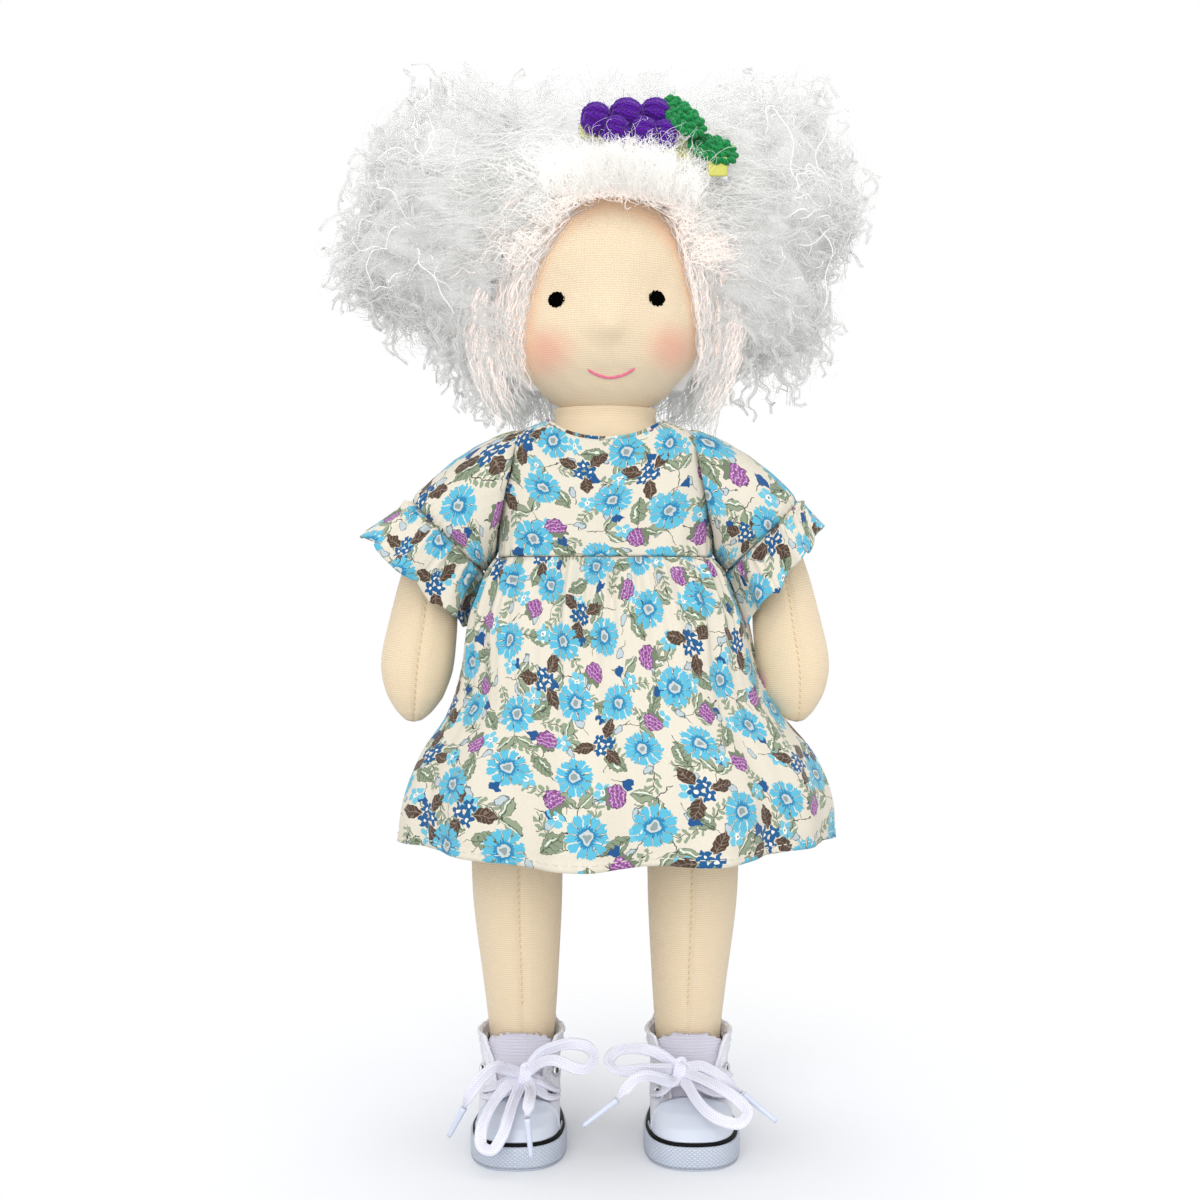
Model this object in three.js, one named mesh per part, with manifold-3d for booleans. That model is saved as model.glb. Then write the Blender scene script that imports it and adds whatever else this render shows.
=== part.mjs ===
// A stuffed cloth doll that stands in a cotton dress and laced canvas shoes, with a hair clip.
// Millimetres, +Z up, the doll looks along -Y, and left and right are the doll's own (left is +X).
import * as THREE from 'three';
import { mergeVertices } from 'three/addons/utils/BufferGeometryUtils.js';
import Module from 'manifold-3d';

const wasm = await Module();
wasm.setup();

// Clearances
const GAP = 0.3; // air between two neighbouring pieces
const CLOTH = 1.3; // dress cloth with its seam allowance, drawn as one layer
const EASE = 0.6; // air between the body and the bodice over it

// Body
const SIT_AXIS_Z = 122; // the hem of the torso, where the legs fold forward together
const LEG_AXIS_Z = 116.5; // the top stitching of each leg, where it swings by itself
const SEAM_HALF_THICK = 1.5; // hip seam, two layers of jersey sewn flat
const HIP_HALF_WIDTH = 37;
const HIP_HALF_DEPTH = 18.5;
const CHEST_HALF_WIDTH = 29.6;
const CHEST_HALF_DEPTH = 17.5;
const WAIST_EXTRA = 0.7; // how much wider the waist is than the chest, on each side
const SHOULDER_Z = 206.5;
const TORSO_TOP_Z = 211.3;
const TORSO_POWER = 3.4; // 2 is an ellipse, more is boxier
const NECK_HALF_WIDTH = 15.5;
const NECK_HALF_DEPTH = 12.5;

// Head
const HEAD_BOTTOM_Z = 215;
const HEAD_HEIGHT = 70.5;
const HEAD_HALF_WIDTH = 30.3;
const HEAD_HALF_DEPTH = 29.5;
const EYE_SPREAD = 14; // each eye from the middle of the face
const EYE_Z = 243.4;
const EYE_RADIUS = 2.3;
const NOSE_Z = 236;
const MOUTH_WIDTH = 13.7;
const MOUTH_Z = 224.2;
const MOUTH_DROP = 2.2;

// Hair
const CROWN_HALF_WIDTH = 41.5;
const CROWN_HALF_DEPTH = 37.5;
const CROWN_BACK_SHIFT = 2.5;
const CROWN_BOTTOM_Z = 217;
const CROWN_TOP_Z = 305.5;
const HAIRLINE_Z = 268;
const FACE_HALF_WIDTH = 25;
const BUNCH_REACH = 82; // each side bunch ends this far from the middle
const BUNCH_HALF_HEIGHT = 37;
const BUNCH_HALF_DEPTH = 27;
const BUNCH_Z = 270;
const TIE_Z = 266;
const TIE_RADIUS = 9.8;
const TIE_CORD = 1.1;

// Arms
const ARM_AXIS_Z = 190;
const ARM_RADIUS = 8.6;
const HAND_HALF_WIDTH = 10.9;
const HAND_Z = 139;
const HAND_TIP_Z = 121.7;
const HAND_OUT = 56.4; // middle of the hand from the middle of the doll

// Legs
const LEG_SPREAD = 26.3; // middle of each leg at the knee
const ANKLE_SPREAD = 25;
const LEG_HALF_WIDTH = 13.7;
const LEG_TOP_RADIUS = 2.2;
const ANKLE_HALF_WIDTH = 9.6;
const ANKLE_Z = 27;

// Dress
const WAIST_Z = 171.2;
const HEM_Z = 86;
const HEM_HALF_WIDTH = 65;
const HEM_HALF_DEPTH = 48;
const SKIRT_FOLDS = 11;
const HEM_FOLD = 5; // how far a fold stands in and out at the hem
const NECKLINE_HALF_WIDTH = 18.5;
const NECKLINE_TOP_Z = 216;
const NECKLINE_FRONT = 9.8; // how far the neckline scoops down at the front
const NECKLINE_BACK = 9;
const ARMHOLE_RADIUS = 17;
const SLEEVE_PUFF = 1.6; // how far the sleeve swells between its two seams
const SLEEVE_TOP = { out: 57.5, z: 189.1 }; // upper and lower ends of the gathered seam
const SLEEVE_LOW = { out: 36.2, z: 167.8 };
const RUFFLE_TOP = { out: 68.8, z: 175.5 }; // upper and lower ends of the frill's edge
const RUFFLE_LOW = { out: 41.4, z: 154.1 };
const SLEEVE_DEPTH = 15.8;
const RUFFLE_DEPTH = 19;
const RUFFLE_WAVES = 9;
const RUFFLE_WAVE = 1.8;
const SNAP_RADIUS = 3.2;
const SNAP_HEIGHT = 1.2;

// Shoes
const SHOE_SPREAD = 25;
const SOLE_THICK = 2;
const FOXING_TOP_Z = 7.8;
const FOXING_WALL = 1.7;
const SHOE_HALF_WIDTH = 13.8;
const TOE_Y = -33;
const HEEL_Y = 17;
const TOE_CAP_BACK_Y = -17.5;
const TOE_CAP_TOP_Z = 15.2;
const COLLAR_Z = 29;
const COLLAR_HALF_WIDTH = 11.9;
const COLLAR_FRONT_Y = -10.5;
const COLLAR_BACK_Y = 15.8;
const CANVAS = 1.1;
const THROAT_HALF_WIDTH = 6.2;
const TONGUE_HALF_WIDTH = 7.6;
const TONGUE_TOP_Z = 31;
const LACE_WIDTH = 3.4;
const LACE_THICK = 1.2;
const AGLET_RADIUS = 0.75;

const v2 = (x, y) => new THREE.Vector2(x, y);
const v3 = (x, y, z) => new THREE.Vector3(x, y, z);
const finish = (color, roughness, metalness = 0) =>
  new THREE.MeshStandardMaterial({ color, roughness, metalness });

const finishes = {
  skin: finish('#ecdcbf', 0.95),
  eye: finish('#17120f', 0.8),
  mouth: finish('#d98a8c', 0.85),
  hair: finish('#eeeeec', 0.95),
  elastic: finish('#f2f0ec', 0.9),
  cotton: finish('#dfe0d8', 0.9),
  snap: finish('#f1f1ee', 0.45),
  grape: finish('#4a128c', 0.95),
  leaf: finish('#0f7f3c', 0.95),
  ribbon: finish('#d8d245', 0.8),
  steel: finish('#b9bcc0', 0.35, 1),
  sole: finish('#cfd8e4', 0.5),
  toeCap: finish('#d5dee9', 0.3),
  canvas: finish('#dedce8', 0.9),
  lace: finish('#e6e6f4', 0.9),
  aglet: finish('#c9d3ea', 0.3),
};

// An oval ring of points about (cx, cy) at height z; a power over 2 squares it off.
function oval(cx, cy, z, halfWidth, halfDepth, sides, power = 2) {
  return Array.from({ length: sides }, (_, i) => {
    const a = (2 * Math.PI * i) / sides;
    const c = Math.cos(a);
    const s = Math.sin(a);
    const x = halfWidth * Math.sign(c) * Math.abs(c) ** (2 / power);
    const y = halfDepth * Math.sign(s) * Math.abs(s) ** (2 / power);
    return v3(cx + x, cy + y, z);
  });
}

// A ring about a point of a path, square to its direction; the depth axis is Y.
function ringAcross(centre, direction, half, halfDepth, sides, wave = () => 0) {
  const along = v3(0, 1, 0);
  const across = v3().crossVectors(direction, along).normalize();
  return Array.from({ length: sides }, (_, i) => {
    const a = (2 * Math.PI * i) / sides;
    const swell = wave(a);
    return centre
      .clone()
      .addScaledVector(along, (halfDepth + swell) * Math.cos(a))
      .addScaledVector(across, (half + swell) * Math.sin(a));
  });
}

// Skins a row of rings. With "caps" both ends are closed; with "loop" the last ring joins the first.
function skin(rings, ends = 'caps') {
  const sides = rings[0].length;
  const points = rings.flat();
  const index = [];
  const rows = ends === 'loop' ? rings.length : rings.length - 1;
  for (let r = 0; r < rows; r++) {
    const next = (r + 1) % rings.length;
    for (let i = 0; i < sides; i++) {
      const j = (i + 1) % sides;
      const [a, b, c, d] = [r * sides + i, r * sides + j, next * sides + j, next * sides + i];
      index.push(a, b, c, a, c, d);
    }
  }
  if (ends === 'caps') {
    for (const [row, turned] of [[0, true], [rings.length - 1, false]]) {
      const middle = points.length;
      points.push(rings[row].reduce((sum, p) => sum.add(p), v3()).divideScalar(sides));
      for (let i = 0; i < sides; i++) {
        const a = row * sides + i;
        const b = row * sides + ((i + 1) % sides);
        index.push(...(turned ? [middle, b, a] : [middle, a, b]));
      }
    }
  }
  const geometry = new THREE.BufferGeometry().setFromPoints(points);
  geometry.setIndex(index);
  return faceOut(geometry);
}

// Turns every triangle round when the surface encloses a negative volume.
function faceOut(geometry) {
  const p = geometry.getAttribute('position');
  const index = Array.from(geometry.getIndex().array);
  const [a, b, c] = [v3(), v3(), v3()];
  let volume = 0;
  for (let i = 0; i < index.length; i += 3) {
    a.fromBufferAttribute(p, index[i]);
    b.fromBufferAttribute(p, index[i + 1]);
    c.fromBufferAttribute(p, index[i + 2]);
    volume += a.dot(b.cross(c));
  }
  if (volume < 0) {
    for (let i = 0; i < index.length; i += 3) {
      [index[i + 1], index[i + 2]] = [index[i + 2], index[i + 1]];
    }
    geometry.setIndex(index);
  }
  return geometry;
}

function solid(geometry) {
  const bare = geometry.clone();
  bare.deleteAttribute('normal');
  bare.deleteAttribute('uv');
  const merged = mergeVertices(bare, 1e-4);
  return new wasm.Manifold(
    new wasm.Mesh({
      numProp: 3,
      vertProperties: new Float32Array(merged.getAttribute('position').array),
      triVerts: new Uint32Array(merged.getIndex().array),
    }),
  );
}

function geometryOf(body) {
  const mesh = body.getMesh();
  const geometry = new THREE.BufferGeometry();
  geometry.setAttribute('position', new THREE.BufferAttribute(mesh.vertProperties, 3));
  geometry.setIndex(new THREE.BufferAttribute(mesh.triVerts, 1));
  return geometry;
}

const join = (first, ...rest) => geometryOf(rest.reduce((body, g) => body.add(solid(g)), solid(first)));
const cut = (first, ...rest) =>
  geometryOf(rest.reduce((body, g) => body.subtract(solid(g)), solid(first)));
const common = (first, second) => geometryOf(solid(first).intersect(solid(second)));
const box = (x0, x1, y0, y1, z0, z1) =>
  new THREE.BoxGeometry(x1 - x0, y1 - y0, z1 - z0).translate((x0 + x1) / 2, (y0 + y1) / 2, (z0 + z1) / 2);
const mirrored = (geometry) => {
  const copy = geometry.clone().scale(-1, 1, 1);
  return faceOut(copy);
};

// A rod along an axis vector about a middle point.
function rod(radius, length, direction, middle, sides = 16) {
  const turn = new THREE.Quaternion().setFromUnitVectors(v3(0, 1, 0), direction.clone().normalize());
  return new THREE.CylinderGeometry(radius, radius, length, sides)
    .applyQuaternion(turn)
    .translate(middle.x, middle.y, middle.z);
}

// A stuffed form: its knots hold half width, half depth and height, and a smooth curve runs through them.
function stuffed(knots, { rings, sides, power = 2, grow = 0, backShift = 0, middleX = () => 0, middleY = () => 0 }) {
  const curve = new THREE.CatmullRomCurve3(knots, false, 'centripetal');
  const shapes = Array.from({ length: rings + 1 }, (_, i) => {
    const k = curve.getPoint(i / rings);
    return oval(middleX(k.z), backShift + middleY(k.z), k.z, k.x + grow, k.y + grow, sides, power);
  });
  return skin(shapes);
}

// The half width and half depth of a stuffed form at height z.
function sectionAt(knots, z) {
  const curve = new THREE.CatmullRomCurve3(knots, false, 'centripetal');
  let [low, high] = [0, 1];
  for (let i = 0; i < 40; i++) {
    const middle = (low + high) / 2;
    if (curve.getPoint(middle).z < z) low = middle;
    else high = middle;
  }
  return curve.getPoint(low);
}

const doll = new THREE.Group();
function add(name, geometry, material, parent = doll) {
  geometry.computeVertexNormals();
  const mesh = new THREE.Mesh(geometry, material);
  mesh.name = name;
  parent.add(mesh);
  return mesh;
}

// Torso: a stuffed bag, boxy at the shoulders and drawn flat to a seam at the hips.
function torsoKnots(rise = 0) {
  const bottom = SIT_AXIS_Z + SEAM_HALF_THICK + GAP;
  return [
    v3(HIP_HALF_WIDTH - 5, 2.2, bottom),
    v3(HIP_HALF_WIDTH - 0.5, 7.5, bottom + 7.2),
    v3(HIP_HALF_WIDTH, 13.5, bottom + 16.2),
    v3(HIP_HALF_WIDTH - 3, HIP_HALF_DEPTH - 0.5, bottom + 28.2),
    v3(CHEST_HALF_WIDTH + WAIST_EXTRA, HIP_HALF_DEPTH, WAIST_Z - 3.2),
    v3(CHEST_HALF_WIDTH, CHEST_HALF_DEPTH, ARM_AXIS_Z),
    v3(CHEST_HALF_WIDTH - 1.2, CHEST_HALF_DEPTH - 2.5, SHOULDER_Z - 6.5 + rise * 0.5),
    v3(CHEST_HALF_WIDTH - 3.6, NECK_HALF_DEPTH + 1.5, SHOULDER_Z - 0.5 + rise),
    v3(NECK_HALF_WIDTH + 1.5, NECK_HALF_DEPTH + 0.5, TORSO_TOP_Z - 0.8 + rise),
    v3(NECK_HALF_WIDTH - 0.5, NECK_HALF_DEPTH - 0.5, TORSO_TOP_Z + rise),
  ];
}
const torsoForm = (grow, rise) =>
  stuffed(torsoKnots(rise), { rings: 12, sides: 24, power: TORSO_POWER, grow });

function makeTorso() {
  add('torso', torsoForm(0, 0), finishes.skin);
  const neckTop = HEAD_BOTTOM_Z - GAP;
  const neck = stuffed(
    [
      v3(NECK_HALF_WIDTH - 1, NECK_HALF_DEPTH - 1, TORSO_TOP_Z + GAP),
      v3(NECK_HALF_WIDTH - 0.4, NECK_HALF_DEPTH - 0.4, (TORSO_TOP_Z + neckTop) / 2),
      v3(NECK_HALF_WIDTH, NECK_HALF_DEPTH, neckTop),
    ],
    { rings: 2, sides: 20 },
  );
  add('neck', neck, finishes.skin);
}

// Head: a firm ball, fullest at the cheeks, with a small nose under the skin.
const headKnots = [
  [0.32, 0.32, 0],
  [0.5, 0.5, 0.02],
  [0.74, 0.72, 0.09],
  [0.92, 0.9, 0.2],
  [1, 1, 0.37],
  [1, 1, 0.53],
  [0.95, 0.97, 0.69],
  [0.77, 0.8, 0.85],
  [0.47, 0.49, 0.95],
  [0.14, 0.14, 1],
].map(([w, d, h]) => v3(w * HEAD_HALF_WIDTH, d * HEAD_HALF_DEPTH, HEAD_BOTTOM_Z + h * HEAD_HEIGHT));
const headForm = (grow) => stuffed(headKnots, { rings: 13, sides: 26, grow });

// The face's depth at (x, z), and the way it looks there.
function faceAt(x, z) {
  const { x: halfWidth, y: halfDepth } = sectionAt(headKnots, z);
  return -halfDepth * Math.sqrt(1 - (x / halfWidth) ** 2);
}
function faceNormal(x, z) {
  const step = 0.5;
  const dx = (faceAt(x + step, z) - faceAt(x - step, z)) / (2 * step);
  const dz = (faceAt(x, z + step) - faceAt(x, z - step)) / (2 * step);
  return v3(dx, -1, dz).normalize();
}

function makeHead() {
  const nose = new THREE.SphereGeometry(3.4, 10, 6).translate(0.6, faceAt(0.6, NOSE_Z) + 1.6, NOSE_Z);
  add('head', join(headForm(0), nose), finishes.skin);

  for (const [name, x] of [['left_eye', EYE_SPREAD], ['right_eye', -EYE_SPREAD]]) {
    const thick = 0.5;
    const normal = faceNormal(x, EYE_Z);
    const turn = new THREE.Quaternion().setFromUnitVectors(v3(0, 0, 1), normal);
    const middle = v3(x, faceAt(x, EYE_Z), EYE_Z).addScaledVector(normal, GAP + thick);
    const eye = new THREE.SphereGeometry(EYE_RADIUS, 12, 4)
      .scale(1, 1, thick / EYE_RADIUS)
      .applyQuaternion(turn)
      .translate(middle.x, middle.y, middle.z);
    add(name, eye, finishes.eye);
  }

  const thread = 0.5;
  const smile = [-1, -0.5, 0, 0.5, 1].map((s) => {
    const x = 1.5 + (s * MOUTH_WIDTH) / 2;
    const z = MOUTH_Z - MOUTH_DROP * (1 - s * s);
    return v3(x, faceAt(x, z), z).addScaledVector(faceNormal(x, z), GAP + thread + 0.1);
  });
  add('mouth_stitch', tube(smile, thread, thread, 8, 6), finishes.mouth);
}

// A closed tube of oval section along a smooth path.
function tube(points, halfAcross, halfThick, steps, sides = 8) {
  const section = new THREE.Shape(
    Array.from({ length: sides }, (_, i) => {
      const a = (2 * Math.PI * i) / sides;
      return v2(halfThick * Math.cos(a), halfAcross * Math.sin(a));
    }),
  );
  return new THREE.ExtrudeGeometry(section, {
    steps,
    bevelEnabled: false,
    extrudePath: new THREE.CatmullRomCurve3(points, false, 'centripetal'),
  });
}

// Hair: a thick crown that leaves the face free, and a loose bunch tied at each side.
const crownKnots = [
  [0.74, 0.77, 0],
  [0.87, 0.9, 0.1],
  [0.97, 1, 0.28],
  [1, 1, 0.46],
  [0.99, 0.99, 0.64],
  [0.9, 0.92, 0.8],
  [0.7, 0.74, 0.92],
  [0.42, 0.44, 0.98],
  [0.14, 0.15, 1],
].map(([w, d, h]) =>
  v3(w * CROWN_HALF_WIDTH, d * CROWN_HALF_DEPTH, CROWN_BOTTOM_Z + h * (CROWN_TOP_Z - CROWN_BOTTOM_Z)),
);
const crownForm = (grow) =>
  stuffed(crownKnots, { rings: 10, sides: 28, grow, backShift: CROWN_BACK_SHIFT });

// An arch that widens towards the front: the edge of the hair round the face.
function faceOpening() {
  const arch = (y, spread) => {
    const low = HEAD_BOTTOM_Z - 12;
    const half = FACE_HALF_WIDTH * spread;
    const spring = HAIRLINE_Z - FACE_HALF_WIDTH;
    const points = [v3(-half, y, low), v3(half, y, low)];
    for (let i = 0; i <= 8; i++) {
      const a = (Math.PI * i) / 8;
      points.push(v3(half * Math.cos(a), y, spring + half * Math.sin(a)));
    }
    return points;
  };
  return skin([arch(2, 0.96), arch(-60, 1.75)]);
}

function makeHair() {
  add('hair_crown', cut(crownForm(0), headForm(GAP), faceOpening(), clipSlot()), finishes.hair);
  const tieX = CROWN_HALF_WIDTH + GAP + TIE_CORD;
  const knots = [
    [0.86, 0.84, -24],
    [1, 0.98, -4],
    [1, 1, 12],
    [0.94, 0.95, 22],
    [0.76, 0.74, 31],
    [0.5, 0.46, 37],
    [0.2, 0.2, BUNCH_REACH - tieX],
  ].map(([d, h, x]) => v3(d * BUNCH_HALF_DEPTH, h * BUNCH_HALF_HEIGHT, tieX + x));
  const curve = new THREE.CatmullRomCurve3(knots, false, 'centripetal');
  const rings = 11;
  const sides = 21;
  const locks = 7;
  const left = Array.from({ length: rings + 1 }, (_, i) => {
    const k = curve.getPoint(i / rings);
    const loose = THREE.MathUtils.smoothstep(k.z, tieX - 10, tieX + 12);
    return Array.from({ length: sides }, (_, j) => {
      const a = (2 * Math.PI * j) / sides;
      const lump = 1 + 0.06 * loose * Math.sin(locks * a + k.z * 0.16);
      return v3(k.z, 2 + k.x * lump * Math.cos(a), BUNCH_Z + k.y * lump * Math.sin(a));
    });
  });
  const groove = (x) =>
    [TIE_RADIUS + TIE_CORD + GAP, TIE_RADIUS - TIE_CORD - GAP].map((r) =>
      oval(TIE_Z, 2, 0, r, r, 18).map((p) => v3(x, p.y, p.x)),
    );
  const [deepOut, deepIn] = groove(tieX + TIE_CORD + GAP);
  const [mouthOut, mouthIn] = groove(tieX - 12);
  const bunch = cut(skin(left), crownForm(GAP), skin([deepOut, mouthOut, mouthIn, deepIn], 'loop'));
  const tie = new THREE.TorusGeometry(TIE_RADIUS, TIE_CORD, 6, 16)
    .rotateY(Math.PI / 2)
    .translate(tieX, 2, TIE_Z);
  add('left_bunch', bunch, finishes.hair);
  add('right_bunch', mirrored(bunch), finishes.hair);
  add('left_hair_tie', tie, finishes.elastic);
  add('right_hair_tie', mirrored(tie), finishes.elastic);
}

// Arms: sewn in at the armhole, bending down into a mitten hand.
function armPath() {
  return [
    v3(CHEST_HALF_WIDTH + 2 * GAP, 0, ARM_AXIS_Z + 0.5),
    v3(CHEST_HALF_WIDTH + 5.5, 0, ARM_AXIS_Z),
    sleeveSeam.at,
    v3(HAND_OUT - 4, 0, HAND_Z + 26),
    v3(HAND_OUT - 1.8, 0, HAND_Z + 12),
    v3(HAND_OUT, 0, HAND_Z),
    v3(HAND_OUT + 1, 0, HAND_TIP_Z + 5),
    v3(HAND_OUT + 1.2, 0, HAND_TIP_Z),
  ];
}
const armSizes = [
  v3(ARM_RADIUS - 0.6, ARM_RADIUS, 0),
  v3(ARM_RADIUS, ARM_RADIUS, 0),
  v3(ARM_RADIUS, ARM_RADIUS, 0),
  v3(ARM_RADIUS + 0.1, ARM_RADIUS - 0.2, 0),
  v3(HAND_HALF_WIDTH - 0.7, ARM_RADIUS, 0),
  v3(HAND_HALF_WIDTH, ARM_RADIUS - 0.2, 0),
  v3(HAND_HALF_WIDTH * 0.66, ARM_RADIUS * 0.66, 0),
  v3(1, 1, 0),
];

function makeArm(side) {
  const path = new THREE.CatmullRomCurve3(armPath(), false, 'centripetal');
  const size = new THREE.CatmullRomCurve3(armSizes, false, 'centripetal');
  const steps = 12;
  const rings = Array.from({ length: steps + 1 }, (_, i) => {
    const t = i / steps;
    const half = size.getPoint(t);
    const way = i === 0 ? v3(1, 0, 0) : path.getTangent(t);
    return ringAcross(path.getPoint(t), way, half.x, half.y, 14);
  });
  const arm = skin(rings);
  add(`${side}_arm`, side === 'left' ? arm : mirrored(arm), finishes.skin);
}

// Legs: flat at the hip, full at the thigh, slim at the ankle, with a foot inside the shoe.
function makeLeg(side) {
  const top = LEG_AXIS_Z;
  const knots = [
    v3(ANKLE_HALF_WIDTH - 1.6, ANKLE_HALF_WIDTH - 1.4, 9),
    v3(ANKLE_HALF_WIDTH - 0.7, ANKLE_HALF_WIDTH - 0.8, 16),
    v3(ANKLE_HALF_WIDTH, ANKLE_HALF_WIDTH - 0.2, ANKLE_Z),
    v3(LEG_HALF_WIDTH - 2.4, LEG_HALF_WIDTH - 2.4, 46),
    v3(LEG_HALF_WIDTH - 0.4, LEG_HALF_WIDTH - 0.4, 70),
    v3(LEG_HALF_WIDTH, LEG_HALF_WIDTH - 0.6, 92),
    v3(LEG_HALF_WIDTH - 0.2, 11, top - 11.5),
    v3(LEG_HALF_WIDTH - 0.8, 6.4, top - 4.6),
    v3(LEG_HALF_WIDTH - 1.2, LEG_TOP_RADIUS, top),
    v3(LEG_HALF_WIDTH - 1.6, LEG_TOP_RADIUS * 0.7, top + LEG_TOP_RADIUS * 0.7),
    v3(LEG_HALF_WIDTH - 2, 0.4, top + LEG_TOP_RADIUS),
  ];
  const lean = (z) => THREE.MathUtils.smoothstep(z, ANKLE_Z, 80);
  const leg = stuffed(knots, {
    rings: 13,
    sides: 16,
    middleX: (z) => THREE.MathUtils.lerp(ANKLE_SPREAD, LEG_SPREAD, lean(z)),
    middleY: (z) => THREE.MathUtils.lerp(3, 0, lean(z)),
  });
  const footHigh = 5.2;
  const foot = new THREE.SphereGeometry(1, 12, 8)
    .scale(9, 17.5, footHigh)
    .translate(ANKLE_SPREAD, -6, SOLE_THICK + GAP + footHigh);
  const whole = join(leg, foot);
  add(`${side}_leg`, side === 'left' ? whole : mirrored(whole), finishes.skin);
}

// The flat sewn strip under the torso that both legs are caught in; its top is round about the sitting axis.
function makeHipSeam() {
  const half = SEAM_HALF_THICK;
  const low = LEG_AXIS_Z + LEG_TOP_RADIUS + GAP;
  const strip = new THREE.Shape();
  strip.moveTo(-half, low);
  strip.lineTo(half, low);
  strip.lineTo(half, SIT_AXIS_Z);
  strip.absarc(0, SIT_AXIS_Z, half, 0, Math.PI, false);
  const length = 2 * (LEG_SPREAD + LEG_HALF_WIDTH - 2);
  const seam = new THREE.ExtrudeGeometry(strip, { depth: length, bevelEnabled: false, curveSegments: 8 })
    .rotateX(Math.PI / 2)
    .rotateZ(Math.PI / 2)
    .translate(-length / 2, 0, 0);
  add('hip_seam', seam, finishes.skin);
}

// Bodice: one layer over the chest, open at the neck, the armholes and the waist.
const bodiceGrow = EASE + CLOTH;
function makeBodice() {
  const far = 90;
  const scoop = (drop, toY) =>
    oval(0, 0, 0, NECKLINE_HALF_WIDTH, drop, 16).map((p) => v3(p.x, toY, NECKLINE_TOP_Z + p.y));
  const front = skin([scoop(NECKLINE_FRONT, 0.1), scoop(NECKLINE_FRONT, -far)]);
  const back = skin([scoop(NECKLINE_BACK, -0.1), scoop(NECKLINE_BACK, far)]);
  const armholes = rod(ARM_RADIUS + 2, 2 * far, v3(1, 0, 0), v3(0, 0, ARM_AXIS_Z), 14);
  const outside = torsoForm(bodiceGrow, bodiceGrow * 0.8);
  const inside = torsoForm(EASE, EASE * 0.8);
  const belowWaist = box(-far, far, -far, far, 0, WAIST_Z + GAP);
  add('bodice', cut(outside, inside, front, back, armholes, belowWaist), finishes.cotton);

  const backOf = (z) => sectionAt(torsoKnots(bodiceGrow * 0.8), z).y + bodiceGrow;
  const backAt = (z) => Math.max(backOf(z - SNAP_RADIUS), backOf(z), backOf(z + SNAP_RADIUS));
  for (const [name, z] of [['upper_snap', SHOULDER_Z - 11], ['lower_snap', WAIST_Z + 8]]) {
    const snap = rod(SNAP_RADIUS, SNAP_HEIGHT, v3(0, 1, 0), v3(0, backAt(z) + GAP + SNAP_HEIGHT / 2, z), 16);
    add(name, snap, finishes.snap);
  }
}

// Skirt: gathered at the waist, held in by the hands and flaring below them to a loose hem.
function makeSkirt() {
  const drop = WAIST_Z - HEM_Z;
  const waistWidth = CHEST_HALF_WIDTH + WAIST_EXTRA + bodiceGrow;
  const waistDepth = HIP_HALF_DEPTH + bodiceGrow;
  const knots = [
    [0, 0, 0],
    [0.17, 0.24, 0.21],
    [0.33, 0.45, 0.385],
    [0.54, 0.64, 0.55],
    [0.82, 0.8, 0.7],
    [0.97, 0.93, 0.86],
    [1, 1, 1],
  ].map(([w, d, h]) =>
    v3(
      THREE.MathUtils.lerp(waistWidth, HEM_HALF_WIDTH - HEM_FOLD / 2, w),
      THREE.MathUtils.lerp(waistDepth, HEM_HALF_DEPTH - HEM_FOLD / 2, d),
      WAIST_Z - h * drop,
    ),
  );
  const curve = new THREE.CatmullRomCurve3(knots, false, 'centripetal');
  const sides = 6 * SKIRT_FOLDS;
  const rows = 5;
  const wall = (inset) =>
    Array.from({ length: rows + 1 }, (_, r) => {
      const k = curve.getPoint(r / rows);
      const t = (WAIST_Z - k.z) / drop;
      const depth = HEM_FOLD * t ** 1.6 + 0.25;
      const squared = oval(0, 0, k.z, 1, 1, sides, THREE.MathUtils.lerp(TORSO_POWER, 2, Math.min(1, 2 * t)));
      return squared.map((p, i) => {
        const a = (2 * Math.PI * i) / sides;
        const grown = (depth / 2) * Math.cos(SKIRT_FOLDS * a) * (0.75 + 0.25 * Math.sin(3 * a)) - inset;
        return v3((k.x + grown) * p.x, (k.y + grown) * p.y, k.z);
      });
    });
  add('skirt', skin([...wall(0), ...wall(CLOTH).reverse()], 'loop'), finishes.cotton);
}

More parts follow.
